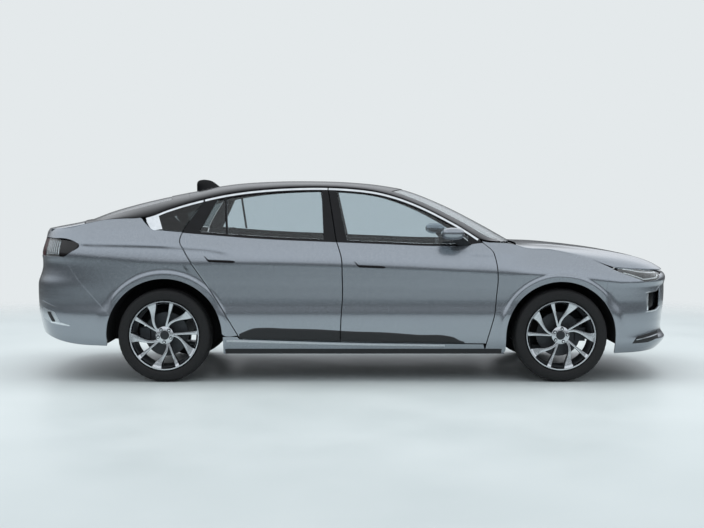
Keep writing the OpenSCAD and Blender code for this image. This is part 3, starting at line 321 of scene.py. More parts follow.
def slab(grid, outer, inner):
    """Solid on the body side between two offsets from its surface."""
    return shell(on_side(grid, outer), on_side(grid, inner))


def layer(surface, s, z, outer, inner):
    """Solid between two depths below the surface of an end."""
    return shell(surface(s + 0 * z, z, outer), surface(s + 0 * z, z, inner))


def cover(surface, low, top, x0, x1, out):
    """Thin cover on a bumper between two lines of the side view, with x counted from mid length."""
    ahead = surface is on_nose
    x = row(40, x1, x0) if ahead else row(40, x0, x1)
    z = mix(straight(low, x), straight(top, x), column(9))
    edge, end = (front_edge(z), nose_x(z)) if ahead else (-rear_edge(z), tail_x(z))
    return layer(surface, end_share(x + 0 * z, edge, end), z, -out, 2)


def mirrored(part):
    """The same part on the car's other side, its faces turned to point outward again."""
    return part[0] * [1, -1, 1], part[1][:, ::-1]


def to_side(part, side):
    """A part drawn on the left, on the side asked for."""
    return part if side == LEFT else mirrored(part)


def both(part):
    """A part on both sides."""
    return [part, mirrored(part)]


def placed(name, data):
    """New object in the scene."""
    obj = bpy.data.objects.new(name, data)
    bpy.context.scene.collection.objects.link(obj)
    return obj


def piece(name, parts, look, stands_for=(), body="body", wall=0.0):
    """One object from parts in millimetres that rides on a body; wall thickens an open surface inward."""
    counts = np.cumsum([0] + [len(p[0]) for p in parts])
    points = np.concatenate([p[0] for p in parts]) * 0.001
    faces = np.concatenate([p[1] + c for p, c in zip(parts, counts)])
    mesh = bpy.data.meshes.new(name)
    mesh.from_pydata(points.tolist(), [], faces.tolist())
    mesh.validate()
    mesh.shade_smooth()
    mesh.set_sharp_from_angle(angle=SHARP)
    mesh.materials.append(look)
    obj = placed(name, mesh)
    if wall:
        thick = obj.modifiers.new("wall", "SOLIDIFY")
        thick.thickness, thick.offset = wall * 0.001, -1.0
    if stands_for:
        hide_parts(*stands_for)
    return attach(obj, body)


def side_piece(name, part, side, look, body, stands_for=()):
    """A piece of one side, drawn on the left; the side's name is added to its body and its nodes too."""
    where = SIDE_NAME[side]
    nodes = [f"{node}_{where}" for node in stands_for]
    return piece(f"{name}_{where}", [to_side(part, side)], look, nodes, f"{body}_{where}")


def path(points, u):
    """Points at shares u of the length of a smooth path through control points."""
    p = np.array(points, float)
    s = np.concatenate([[0], np.cumsum(np.linalg.norm(np.diff(p, axis=0), axis=1))])
    return np.stack([curve(np.stack([s, c], 1), u * s[-1]) for c in p.T], -1)


def reach(points):
    """Length of a path."""
    return np.linalg.norm(np.diff(np.array(points, float), axis=0), axis=1).sum()


def spread(n, length, roll):
    """Shares from 0 to 1 with extra rows where an edge of radius roll turns over."""
    e = roll / length
    edge = np.array([0, 0.12 * e, 0.45 * e, e])
    return np.concatenate([edge, np.linspace(3 * e, 1 - 3 * e, n - 2), 1 - edge[::-1]])


def dip(d, roll):
    """Depth of a rounded edge at distance d from it."""
    return roll - np.sqrt(roll ** 2 - (roll - np.minimum(d, roll)) ** 2)


def off_wheel(grid, axle, radius, margin):
    """(x, z) grid pushed out of a wheel opening, each row by its own margin."""
    d = grid - [axle, ARCH_Z]
    p = np.linalg.norm(d, axis=-1)
    grow = np.maximum(1, (radius + margin) / p)
    beside = np.sign(d[..., 0]) * np.maximum(np.abs(d[..., 0]), radius + margin)
    below = d[..., 1] < 0
    return np.stack([axle + np.where(below, beside, d[..., 0] * grow),
                     ARCH_Z + d[..., 1] * np.where(below, 1, grow)], -1)


def blend(edges, corners, u, v):
    """Grid between a bottom, top, left and right edge of points at shares u or v."""
    bottom, top, left, right = edges
    b0, b1, t0, t1 = (np.array(p, float) for p in corners)
    u, v = u[:, None, None], v[None, :, None]
    low, high = b0 * (1 - u) + b1 * u, t0 * (1 - u) + t1 * u
    rise = bottom[:, None] * (1 - v) + top[:, None] * v
    return rise + left[None] * (1 - u) + right[None] * u - low * (1 - v) - high * v


def patch(bottom, top, left, right, n, m, roll=3.0, inset=0.0, wheel=None):
    """(x, z) grid that blends four boundary paths, and the depth that rounds its edges over.

    A wheel as (axle, radius, ease) pushes the grid out of its opening, less near the right edge by ease.
    """
    width, height = min(reach(bottom), reach(top)), min(reach(left), reach(right))
    u, v = spread(n, width, roll), spread(m, height, roll)
    d = np.minimum.outer(np.minimum(u, 1 - u) * width, np.minimum(v, 1 - v) * height)
    u = inset / width + u * (1 - 2 * inset / width)
    v = inset / height + v * (1 - 2 * inset / height)
    edges = path(bottom, u), path(top, u), path(left, v), path(right, v)
    grid = blend(edges, (bottom[0], bottom[-1], top[0], top[-1]), u, v)
    if wheel:
        axle, radius, ease = wheel
        room = np.minimum(1, (1 - u[:, None]) / ease) if ease else 1
        grid = off_wheel(grid, axle, radius, room * np.minimum(0.6 * v[None] * height, 60))
    return grid, dip(d, roll)


def panel(bottom, top, left, right, n, m, thick, roll=3.0, inset=0.0, wheel=None):
    """Body side panel with rounded edges and a wall; inset draws its inner face in."""
    grid, depth = patch(bottom, top, left, right, n, m, roll, wheel=wheel)
    inner, _ = patch(bottom, top, left, right, n, m, roll, inset, wheel)
    return shell(on_side(grid, -depth), on_side(inner, -thick))


def card(bottom, top, left, right):
    """Inner lining of a door: its outline drawn in by 24 mm, 3 mm thick and thinning out at its edge."""
    grid, edge = patch(bottom, top, left, right, 26, 20, 8.0, 24)
    return slab(grid, 3 - DOOR_T + 0 * edge, edge * 0.4 - DOOR_T)


def lathe(profile, steps, place=(0, 0, 0)):
    """Surface of a profile of (radius, height) turned about the wheel's axis and moved to a place."""
    a = circle(steps)[:, None]
    r, z = np.array(profile, float).T
    grid = np.stack([r * np.cos(a), r * np.sin(a), z + 0 * a], -1)
    return sheet(grid[::-1] + np.array(place, float), around=True)


def swell(t, power):
    """Signed power that squares off a round section."""
    return np.sign(t) * np.abs(t) ** power


# Finishes
def linear(code, alpha=1.0):
    """Linear colour of an sRGB hex code."""
    c = np.array([int(code[i:i + 2], 16) for i in (1, 3, 5)]) / 255
    c = np.where(c <= 0.04045, c / 12.92, ((c + 0.055) / 1.055) ** 2.4)
    return (*c.tolist(), alpha)


def add(tree, kind, links=None, **settings):
    """Adds a node: settings are its own properties, links its inputs as values or as sockets."""
    node = tree.nodes.new("ShaderNode" + kind)
    for key, value in settings.items():
        setattr(node, key, value)
    for key, value in (links or {}).items():
        if isinstance(value, bpy.types.NodeSocket):
            tree.links.new(value, node.inputs[key])
        else:
            node.inputs[key].default_value = value
    return node


def finish(name, colour, rough, metal=0.0, **sockets):
    """A principled surface; returns the material, its tree and its shader."""
    mat = bpy.data.materials.new(name)
    mat.use_nodes = True
    tree = mat.node_tree
    shader = tree.nodes["Principled BSDF"]
    sockets = {"Base Color": linear(colour), "Roughness": rough, "Metallic": metal, **sockets}
    for key, value in sockets.items():
        shader.inputs[key].default_value = value
    return mat, tree, shader


def clear(name, colour, ior, rough=0.0, weight=1.0):
    """A see-through surface."""
    return finish(name, colour, rough, **{"Transmission Weight": weight, "IOR": ior})[0]


def speckle(name, colours, rough, grain_mm, bump=0.0, metal=0.0, vary=0.0, **sockets):
    """Surface whose colour wanders between two codes in grains, with bumps in mm and a gloss that varies."""
    mat, tree, shader = finish(name, colours[0], rough, metal, **sockets)
    place = add(tree, "TexCoord")
    grain = {"Vector": place.outputs["Object"], "Scale": 1000 / grain_mm, "Detail": 4.0}
    level = add(tree, "TexNoise", grain).outputs["Fac"]
    low, high = 0.3, 0.7
    ramp = add(tree, "ValToRGB", {"Fac": level})
    for stop, share, code in zip(ramp.color_ramp.elements, (low, high), colours):
        stop.position, stop.color = share, linear(code)
    tree.links.new(ramp.outputs["Color"], shader.inputs["Base Color"])
    if vary:
        gloss = add(tree, "MapRange", {"Value": level, "From Min": low, "From Max": high,
                                       "To Min": rough - vary, "To Max": rough + vary})
        tree.links.new(gloss.outputs["Result"], shader.inputs["Roughness"])
    if bump:
        lumps = add(tree, "Bump", {"Height": level, "Strength": 1.0, "Distance": bump * 0.001})
        tree.links.new(lumps.outputs["Normal"], shader.inputs["Normal"])
    return mat


# Metallic base coat under clear lacquer: flakes glint in the base, the lacquer mirrors the studio.
# Real flakes are some 0.05 mm; they are drawn at 2 mm so that a close view shows them.
paint = speckle("metallic_grey_lacquer", ("#858c94", "#9ca3aa"), 0.25, 2.0, metal=0.9, vary=0.05,
                **{"Coat Weight": 1.0, "Coat Roughness": 0.03})
# Black gloss lacquer of the roof, frames and pillars: deep colour, mirror surface with faint unevenness.
black_gloss = speckle("black_lacquer", ("#0b0c0e", "#101114"), 0.16, 60.0, vary=0.03,
                      **{"Specular IOR Level": 0.22})
# Moulded black polypropylene: fine pebble grain of about 1.2 mm, dull sheen.
black_plastic = speckle("grained_polypropylene", ("#15171a", "#1d2023"), 0.55, 1.2, bump=0.12, vary=0.08)
# Bright rolled trim: polished stainless strip.
bright_trim = speckle("polished_stainless_strip", ("#d9dee2", "#e9edf0"), 0.09, 40.0, metal=1.0, vary=0.03)
# Satin silver sill strip: brushed along the car, dull mirror.
satin_trim = speckle("satin_aluminium_strip", ("#b4babf", "#c9ced2"), 0.3, 5.0, metal=1.0, vary=0.05)
# Laminated and toughened glass: faint cool tint through the pane, hard gloss; privacy glass is dyed.
tinted_glass = clear("cool_tinted_glass", "#d6dfe3", 1.45)
dark_glass = clear("privacy_glass", "#6d7678", 1.45)
# Polycarbonate of the lamps: clear, smoked and dyed red.
clear_lens = clear("clear_polycarbonate", "#f2f6f8", 1.5)
smoked_lens = clear("smoked_polycarbonate", "#3a3436", 1.5, 0.02)
red_lens = clear("red_polycarbonate", "#5f0c12", 1.5, 0.05, 0.8)
# Vacuum-coated reflectors and light guides inside the lamps.
reflector = speckle("aluminised_reflector", ("#c8ccd0", "#dfe3e6"), 0.15, 8.0, metal=1.0, vary=0.05)
light_guide = speckle("frosted_light_guide", ("#e6eaec", "#f4f6f7"), 0.4, 3.0)
# Cast wheel: diamond-turned faces are bright with fine turning marks, pockets are dark enamel.
turned_face = speckle("diamond_turned_aluminium", ("#b9bec3", "#d3d7da"), 0.24, 3.0, metal=1.0, vary=0.06)
dark_enamel = speckle("dark_wheel_enamel", ("#23262a", "#2f3337"), 0.38, 2.0, metal=0.3, vary=0.06)
barrel_silver = speckle("silver_wheel_enamel", ("#6d7277", "#7d8287"), 0.4, 2.0, metal=0.8, vary=0.06)
# Tyre rubber: carbon black, dull, with slight bloom.
rubber = speckle("tyre_rubber", ("#0b0c0d", "#121315"), 0.75, 6.0, bump=0.08, vary=0.1)
# Grey cast iron of the brake discs, turned bright by the pads.
disc_iron = speckle("turned_cast_iron", ("#3d4043", "#56595c"), 0.45, 3.0, metal=1.0, vary=0.08)
# Castings under the car, as they came from the mould.
cast_iron = speckle("raw_cast_iron", ("#3c3f43", "#54585c"), 0.62, 3.0, bump=0.3, metal=0.7, vary=0.1)
cast_alloy = speckle("sand_cast_aluminium", ("#6b6f73", "#868a8e"), 0.5, 2.5, bump=0.3, metal=0.9, vary=0.08)
# Sprayed underbody wax: black, lumpy, half dull.
underseal = speckle("underbody_wax", ("#141618", "#22262a"), 0.6, 12.0, bump=0.8, vary=0.12)
# Arch liners of pressed felt, exhaust steel dulled by heat, soft-touch mouldings of the cabin.
liner_felt = speckle("pressed_felt", ("#0d0e0f", "#1a1b1d"), 0.95, 2.5, bump=0.6)
pipe_steel = speckle("heat_dulled_steel", ("#6b6864", "#8b867e"), 0.42, 30.0, metal=1.0, vary=0.1)
soft_plastic = speckle("soft_touch_moulding", ("#1c1e21", "#25282b"), 0.6, 1.5, bump=0.15, vary=0.06)
# Woven seat cloth: dull charcoal yarn of about 1.6 mm.
seat_cloth = speckle("woven_seat_cloth", ("#2a2c30", "#383b3f"), 0.9, 1.6, bump=0.2)


# Doors
def xz(x, z):
    """(x, z) pairs of the side view."""
    return np.stack([x + 0 * z, z + 0 * x], -1)


def along(x0, x1, height):
    """Side of an outline from x0 to x1, at a height that follows from x."""
    def side(u):
        x = mix(x0, x1, u)
        return xz(x, height(x))
    return side


def upward(z0, z1, cut):
    """Side of an outline from z0 to z1, at an x that follows from the height."""
    def side(u):
        z = mix(z0, z1, u)
        return xz(cut(z), z)
    return side


def frame_ring(window, outline, u):
    """Window frame: rows of points from the glass edge to the outline, both edges rounded."""
    inner, outer = (np.concatenate([side(u) for side in sides]) for sides in (window, outline))
    t = np.concatenate([[0, 0.02, 0.06], np.linspace(0.12, 0.88, 7), [0.94, 0.98, 1]])[None, :, None]
    grid = inner[:, None] * (1 - t) + outer[:, None] * t
    wide = np.linalg.norm(outer - inner, axis=1)[:, None]
    return grid, dip(np.minimum(t[..., 0], 1 - t[..., 0]) * wide, 2.0)


def window_sides(x0, x1, x2, x3, low, d):
    """Glass outline drawn in by d: along the belt from x0 to x1, up to x2, along the rail to x3, and down."""
    def foot(x):
        return belt(x) + low + d

    def head(x):
        return rail(x) - GLASS_HEAD - d

    def line(xa, za, xb, zb):
        return lambda u: xz(mix(xa, xb, u), mix(za, zb, u))
    return (along(x0, x1, foot), line(x1, foot(x1), x2, head(x2)),
            along(x2, x3, head), line(x3, head(x3), x0, foot(x0)))


def front_glass(d):
    """Outline of the front door's glass, drawn in by d."""
    front = 866 - 3 * d
    return window_sides(mid_cut(1060.0) + 82 + d, front, front, mid_cut(1400.0) + 60 + d, 16, d)


def rear_glass(d):
    """Outline of the rear door's glass, drawn in by d."""
    foot, head = mid_cut(1110.0) - 84 - d, mid_cut(1400.0) - 55 - d
    return window_sides(-1135 + 2 * d, foot, head, -1012 + d, 18, d)


FRONT_TIP_Z, FRONT_BELT_Z, MID_BELT_Z, REAR_BELT_Z = 1046.0, 1031.0, 1036.0, 1098.0
MID_TOP_X = float(mid_cut(1440.0))
REAR_TOP_Z = float(rail(-1100.0)) - HALF_GAP - 4


def under_rail(x):
    """Top edge of a door, half a gap below the rail."""
    return rail(x) - HALF_GAP


def beside(cut, gap):
    """A seam moved along the car by half its gap."""
    return lambda z: cut(z) + gap


def lower_edges(behind, ahead, x0, x1, low, x_low, rows):
    """Edges of a door's panel below the belt: bottom, top, rear and front."""
    xs, xt = np.linspace(behind(low), x_low, 9), np.linspace(x0, x1, 25)
    zl, zr = np.linspace(low, belt(x0), rows), np.linspace(low_cut(x_low) + GAP, belt(x1), 25)
    return xz(xs, low_cut(xs) + GAP), xz(xt, belt(xt) - 0.6), xz(behind(zl), zl), xz(ahead(zr), zr)


def front_door():
    """Edges of the front door's panel, outline of its window frame, and its glass."""
    behind, ahead = beside(mid_cut, HALF_GAP), beside(front_cut, -HALF_GAP)
    x0, x1 = behind(MID_BELT_Z), ahead(FRONT_BELT_Z)
    edges = lower_edges(behind, ahead, x0, x1, low_cut(HINGE_R) + GAP, ahead(low_cut(HINGE_F)), 25)
    outline = (along(x0, x1, belt), upward(belt(x1), FRONT_TIP_Z, ahead),
               along(ahead(FRONT_TIP_Z) - 6, MID_TOP_X + HALF_GAP, under_rail),
               upward(under_rail(MID_TOP_X), belt(x0), behind))
    return edges, outline, front_glass


def rear_door():
    """The same for the rear door, whose rear edge follows the wheel opening's sweep."""
    behind, ahead = beside(rear_cut, HALF_GAP), beside(mid_cut, -HALF_GAP)
    x0, x1, top = behind(REAR_BELT_Z), ahead(MID_BELT_Z + 6), behind(REAR_TOP_Z)
    low = low_cut(-830.0) + GAP
    edges = lower_edges(behind, ahead, x0, x1, low, ahead(low), 31)
    outline = (along(x0, x1, belt), upward(belt(x1), under_rail(MID_TOP_X), ahead),
               along(MID_TOP_X - HALF_GAP, top, under_rail), upward(under_rail(top), belt(x0), behind))
    return edges, outline, rear_glass


def pane(sides, deep):
    """Glass that fills an outline, from its bottom edge to its top edge."""
    u = np.linspace(0, 1, 41)
    low, high = sides[0](u), sides[2](u[::-1])
    edges = low, high, sides[3](u[::-1]), sides[1](u)
    grid = blend(edges, (low[0], low[-1], high[0], high[-1]), u, u)
    return slab(grid, -deep, -deep - 5)


def strip(line, width, proud, n=90, sunk=1.0):
    """Rounded moulding along a line of (x, z) points: a half ellipse standing proud of the side."""
    mid = path(line, np.linspace(0, 1, n))
    step = np.gradient(mid, axis=0)
    normal = np.stack([-step[:, 1], step[:, 0]], -1) / np.linalg.norm(step, axis=1)[:, None]
    a = np.linspace(np.pi, 0, 9)
    grid = mid[:, None] + normal[:, None] * (np.cos(a) * -width / 2)[None, :, None]
    return slab(grid[:, ::-1], (np.sin(a[::-1]) * proud)[None], -sunk)


def door_pieces(side):
    """Front and rear door of one side: painted panel, lining, black frame and glass."""
    u = np.linspace(0, 1, 48, endpoint=False)
    for name, (edges, outline, glass) in (("front", front_door()), ("rear", rear_door())):
        body = f"{name}_door"
        skin = panel(*edges, 72, 58, DOOR_T - 4, inset=12)
        side_piece(f"{body}_panel", skin, side, paint, body, [body])
        side_piece(f"{body}_card", card(*edges), side, soft_plastic, body)
        grid, depth = frame_ring(glass(0.0), outline, u)
        ring = shell(on_side(grid, -depth)[:, ::-1], on_side(grid, -FRAME_T)[:, ::-1], around=True)
        side_piece(f"{name}_window_frame", ring, side, black_gloss, body)
        side_piece(f"{body}_glass", pane(glass(0.3), 8), side, tinted_glass, body, [f"{name}_glass"])


CLAD_TOP = [(-850, 352), (-800, 375), (-740, 398), (-650, 405), (-500, 400), (-250, 393), (0, 378),
            (250, 370), (500, 352), (700, 345), (760, 331), (800, 308), (840, 296)]


def cladding(x0, x1):
    """Lower door cladding: from the door's edge to its top line, bellied 7 mm out."""
    x = column(80, x0, x1)
    v = row(15)
    low = low_cut(x) + GAP + 2
    z = mix(low, np.maximum(curve(CLAD_TOP, x), low + 2), v)
    belly = 7 * np.clip(1 - np.abs(2 * v - 1) ** 6, 0, 1) * smooth(np.minimum(x - x0, x1 - x) / 25 + 0.15)
    return slab(xz(x, z), belly, -2)


def handle(x, z):
    """Flush door handle: a dark bar 235 mm long that falls 10 mm forward, its rear end hooked up by 30 mm."""
    u = column(60)
    v = row(9, -1, 1)
    line = z - 10 * u + 30 * smooth((0.16 - u) / 0.16)
    half = 9.5 * np.clip(1 - (2 * u - 1) ** 12, 0.02, 1) * (1 - 0.35 * smooth((0.2 - u) / 0.2))
    return slab(xz(x + 235 * u, line + half * v), 4.5 * np.sqrt(np.clip(1.02 - v ** 4, 0, 1)) + 0 * u, -1)


BRIGHT_W, BRIGHT_PROUD, BRIGHT_DROP = 15, 2.5, 13


def side_trim(side):
    """Bright strips, cladding, division bar and handles of one side, on the doors that carry them."""
    tops = {"front": (front_cut(1052.0) - 14, MID_TOP_X + HALF_GAP + 1),
            "rear": (MID_TOP_X - HALF_GAP - 1, rear_cut(REAR_TOP_Z - 14) + HALF_GAP + 6)}
    feet = {"front": (mid_cut(350.0) + HALF_GAP, 836.0), "rear": (-838.0, mid_cut(350.0) - HALF_GAP)}
    for name, ends in tops.items():
        x = np.linspace(*ends, 60)
        bright = strip(xz(x, rail(x) - BRIGHT_DROP), BRIGHT_W, BRIGHT_PROUD)
        side_piece(f"{name}_bright_strip", bright, side, bright_trim, f"{name}_door")
    for name, ends in feet.items():
        side_piece(f"{name}_cladding", cladding(*ends), side, black_plastic, f"{name}_door")
    bar = strip([(-955, 1372), (-930, 1104)], 17, 0.5, 30, 12)
    side_piece("rear_division_bar", bar, side, black_gloss, "rear_door")
    for name, spot in (("front", (15, 864)), ("rear", (-1095, 904))):
        side_piece(f"handle_{name}_door", handle(*spot), side, black_gloss, f"{name}_door")


for side in (LEFT, RIGHT):
    door_pieces(side)
    side_trim(side)


# Fixed side panels
def arc(axle, radius, first, last, step):
    """Points round a wheel opening from one angle in degrees to another."""
    a = np.radians(np.arange(first, last, step))
    return np.stack([axle + radius * np.cos(a), ARCH_Z + radius * np.sin(a)], -1)


def rear_quarter():
    """Panel behind the rear door, round the wheel opening and up to the roof rail and the boot lid."""
    low = low_cut(AXLE_R + ARCH_R) + 20
    bottom = np.concatenate([
        [[rear_cut(low + 8) - HALF_GAP, low + 8], [AXLE_R + ARCH_R + 25, low + 4]],
        arc(AXLE_R, ARCH_R, 2, 147, 6),
        [[rear_edge(z), z] for z in (500.0, 555.0, 610.0, 690.0, 770.0, 843.0, 925.0)]])[::-1]
    b0 = float(belt(-1262.0)) + 2
    shoulder = ((-2240, -3), (-2150, -3), (-2030, -3), (-1978, 2.7), (-1880, 2.7), (-1700, 2.7), (-1640, 2.7),
                (-1600, 2), (-1580, 2))
    top = [[-2330, 1070], [-2312, 1086], [-2276, 1112], *([x, rail(x) + lift] for x, lift in shoulder),
           [-1542, belt(-1542) + 50], [-1490, belt(-1490) + 8], [-1400, belt(-1400)],
           [rear_cut(b0) - HALF_GAP, b0]]
    z = np.linspace(low + 8, b0, 31)
    edge = [[rear_edge(925.0), 925], [-2085, 965], [-2022, 1012], [-2040, 1046], [-2230, 1066], [-2330, 1070]]
    right = xz(rear_cut(z) - HALF_GAP, z)
    return panel(bottom, top, edge, right, 96, 52, 16, 0.5, wheel=(AXLE_R, ARCH_R, 0.27))


def front_fender():
    """Panel ahead of the front door, round the wheel opening and up to the hood."""
    z0, tip, arch = SILL_Z + 6, 1044, AXLE_F - ARCH_F
    foot = [[front_cut(z0) + HALF_GAP, z0], [arch - 30, z0], [arch - 6, z0 + 8], [arch, z0 + 30],
            [arch, z0 + 70]]
    bottom = np.concatenate([foot, arc(AXLE_F, ARCH_F, 178, 47, -5), [[front_edge(584.0), 584]]])
    top = [[front_cut(1044.0) + 7, tip], [1010, belt(1010) + 2], [1077, belt(1077) - 1],
           *([x, belt(x) - 3] for x in (1210, 1290, 1480, 1600, 1800)), [front_edge(842.0), 842]]
    z, e = np.linspace(z0, tip, 31), np.linspace(584, 842, 21)
    left = xz(front_cut(z) + HALF_GAP + 4 * (z > tip - 1), z)
    return panel(bottom, top, left, xz(front_edge(e), e), 84, 52, SKIN_T, 0.5, wheel=(AXLE_F, ARCH_F, 0))


def sill():
    """Rocker between the wheel openings, solid to 190 mm inside the body's width."""
    x = column(120, AXLE_R + ARCH_R + 6, AXLE_F - ARCH_F - 8)
    ahead = np.where(x > front_cut(270.0) - 8, SILL_Z + 4, low_cut(x))
    top = np.where(x < rear_cut(340.0), low_cut(x) + 18, ahead)
    outer = on_side(xz(x, mix(SILL_Z, top, row(16))))
    inner = outer.copy()
    inner[..., 1] = HALF_WIDTH - 190
    return shell(outer, inner)


def quarter_glass():
    """Fixed pane behind the rear door, a long triangle under the roof rail."""
    x1 = rear_cut(belt(-1262.0) + 8) - HALF_GAP
    zt = float(rail(-1120.0)) - HALF_GAP
    tip = [rear_cut(zt) - HALF_GAP - 2, float(rail(rear_cut(zt))) - HALF_GAP]
    bottom = [[x, belt(x) + lift] for x, lift in ((-1535, 60), (-1500, 12), (-1400, 6), (x1, 6))]
    top = [*([x, rail(x) - drop] for x, drop in ((-1535, 5), (-1478, 3), (-1400, 3), (-1250, 3))), tip]
    z = np.linspace(belt(x1) + 6, tip[1], 15)
    right = xz(rear_cut(z) - HALF_GAP, z)
    right[-1] = tip
    return panel(bottom, top, [bottom[0], top[0]], right, 40, 20, 26, roll=2.0)


def sill_strip():
    """Satin strip along the sill."""
    x = np.linspace(-930, 690, 40)
    return strip(xz(x, low_cut(x) - 15), 20, 4, n=140)


def quarter_strip():
    """Bright strip over the quarter window."""
    drops = ((-1535, 15), (-1478, 14), (-1400, 13), (-1250, 13), (-1120, 13))
    return strip([(x, rail(x) - drop) for x, drop in drops], BRIGHT_W, BRIGHT_PROUD)


def quarter_corner():
    """Bright corner piece behind the quarter window."""
    x = np.linspace(-1531, -1408, 8)
    low = xz(x, curve([(k, belt(k) + lift) for k, lift in ((-1531, 62), (-1500, 16), (-1408, 9))], x))
    x = np.linspace(-1531, -1448, 8)
    high = xz(x, rail(x) - 7)
    grid, edge = patch(low, high, [low[0], high[0]], [low[-1], high[-1]], 30, 20, 2.0)
    return slab(grid, 2.2 - edge, -1)


def sill_skirt():
    """Black lower edge of the sill."""
    x = column(100, AXLE_R + ARCH_R + 20, AXLE_F - ARCH_F - 30)
    return slab(xz(x, mix(SILL_Z + 1, 243.0, row(8))), 2, -1)


piece("quarter_panels", both(rear_quarter()), paint, ["rear_quarters"])
piece("fender_panels", both(front_fender()), paint, ["front_fenders"])
piece("sill_panels", both(sill()), paint, ["sills"])
piece("quarter_panes", both(quarter_glass()), dark_glass, ["quarter_windows"])
piece("sill_strips", both(sill_strip()), satin_trim)
piece("quarter_bright_strips", both(quarter_strip()), bright_trim)
piece("quarter_bright_corners", both(quarter_corner()), bright_trim)
piece("sill_skirts", both(sill_skirt()), black_plastic)


# Roof, windscreen and rear window
def glass_edge(x):
    """Edge of a pane, 0.3 mm inside the black frame."""
    return pillar_share(x) - 0.3 / rail_y(x)


def across(x0, x1, n, edge, drop, thick):
    """Band of the roof surface from one edge to the other along n rows, sunk by drop."""
    x = column(n, x0, x1)
    v = mix(edge(x), -edge(x), row(61))
    outer = on_roof(x + 0 * v, v, drop)
    return shell(outer, outer - [0, 0, thick])


def rail_bands():
    """Side rail of the upper frame, from the rear window's foot to the windscreen's, its edge turned down."""
    x = column(180, -1982, 1077)
    t = np.concatenate([[0, 0.01, 0.03, 0.07], np.linspace(0.14, 1, 14)])[None]
    v = mix(1.0, pillar_share(x), t)
    outer = on_roof(x + 0 * v, v)
    inward, down = ROOF_T * (1 - t) + 4, ROOF_T * np.minimum(1, t * 20)
    return shell(outer, outer - np.stack([0 * v, inward + 0 * v, down + 0 * v], -1))


cross_bands = (-1982, -1880, 8), (-1330, -1215, 12), (225, 262, 8)
bands = [across(*band, pillar_share, 0, ROOF_T) for band in cross_bands]
windscreen = across(263, 1076, 60, glass_edge, 4, GLASS_T)
rear_window = across(-1879, -1331, 48, glass_edge, 4, GLASS_T)
piece("upper_frame_rails", both(rail_bands()) + bands, black_gloss, ["upper_frame"])
piece("roof_panel", [across(-1214, 224, 80, glass_edge, 1, ROOF_T - 4)], black_gloss, ["roof"])
piece("windscreen_pane", [windscreen], tinted_glass, ["windscreen"])
piece("rear_pane", [rear_window], dark_glass, ["rear_window"])


def fin():
    """Fin aerial: sections that shrink towards a rounded top, rear edge upright, front edge leaning."""
    t = column(24)
    a = circle(48)[None]
    long = mix(101, 60, t) * np.sqrt(np.clip(1.001 - t ** 9, 0, 1))
    wide = mix(21, 9, t ** 0.7) * np.sqrt(np.clip(1.001 - t ** 5, 0, 1))
    x = -1257 + mix(101, 58, t) + long * np.cos(a)
    z = mix(crown(x) - 8, 1517.0 + 0 * a, t)
    grid = np.stack([x, wide * np.sin(a) + 0 * t, z], -1)
    cap = np.concatenate([grid, np.repeat(grid[-1:].mean(1, keepdims=True), 48, 1)])
    return sheet(cap.transpose(1, 0, 2)[::-1], around=True)


piece("aerial_fin", [fin()], black_gloss)


# Hood and boot lid
def on_hood(x, v, drop=0.0):
    """Hood surface with a raised line along each side, sunk by drop."""
    z, bow, power = belt(x) + 1, curve(HOOD_BOW, x), curve(HOOD_POWER, x)
    p = station(x, bow, power, v, side_y(x, z) - HALF_GAP - 1, z, curve(HOOD_MID, x + bow))
    p[..., 2] += 5 * np.exp(-((np.abs(v) - 0.6) / 0.07) ** 2) * smooth((x - 1240) / 200) - drop
    return p


def hood_panel():
    """Hood with rounded edges, 18 mm thick and thinner along them."""
    x = np.concatenate([[1222, 1222.4, 1223.4], np.linspace(1225, 1940, 60), [1943, 1945.2, 1946]])[:, None]
    v = np.concatenate([[1, 0.9995, 0.998], np.linspace(0.995, -0.995, 87), [-0.998, -0.9995, -1]])[None]
    edge = np.minimum(np.minimum(x - 1222, 1946 - x), (1 - np.abs(v)) * 800)
    outer = on_hood(x + 0 * v, v, dip(edge, 3.0))
    return shell(outer, on_hood(x + 0 * v, v * 0.985, np.where(edge < 4, 5.0, 18.0)))


def lid_panel():
    """Boot lid: top rows over the bowed lines, then the upright face between the lamps."""
    v = np.concatenate([[-1, -0.999, -0.996], np.linspace(-0.99, 0.99, 71), [0.996, 0.999, 1]])[None]
    x = np.concatenate([[-1992, -1992.5, -1994], np.linspace(-1996, -2285, 30)])[:, None]
    bow = curve(LID_BOW, x)
    top = station(x, bow, 2.4, -v + 0 * x, rail_y(x) - HALF_GAP, rail(x) + 2, crown(x + bow))
    top[..., 1] *= -1
    top[..., 2] -= dip(np.minimum(-1992 - x, (1 - np.abs(v)) * 700), 3.0)
    z = np.concatenate([np.linspace(1108, 942, 25), [940, 933, 926, 924], np.linspace(920, 800, 19),
                        [797.5, 796.4, 796]])[:, None]
    y = v * straight(LID_FACE, z) * (HALF_WIDTH - LIP)
    c = (1 - (np.abs(y) / (HALF_WIDTH - 60)) ** 2.5) ** (1 / 14)
    scoop = 10 * smooth((z - 850) / 20) * smooth((925 - z) / 20) * smooth((300 - np.abs(y)) / 20)
    edge = dip(np.minimum(z - 796, (1 - np.abs(v)) * 550), 3.0)
    face = np.stack([scoop + edge - tail_x(z) * c, y, z + 0 * y], -1)
    outer = np.concatenate([top, face])
    on_top = np.arange(len(outer))[:, None, None] < len(top)
    return shell(outer, outer * [1, 0.975, 1] + np.where(on_top, [14, 0, -24], [24, 0, 3]))


piece("hood_panel", [hood_panel()], paint, ["hood"], "hood")
piece("boot_lid_panel", [lid_panel()], paint, ["boot_lid"], "boot_lid")


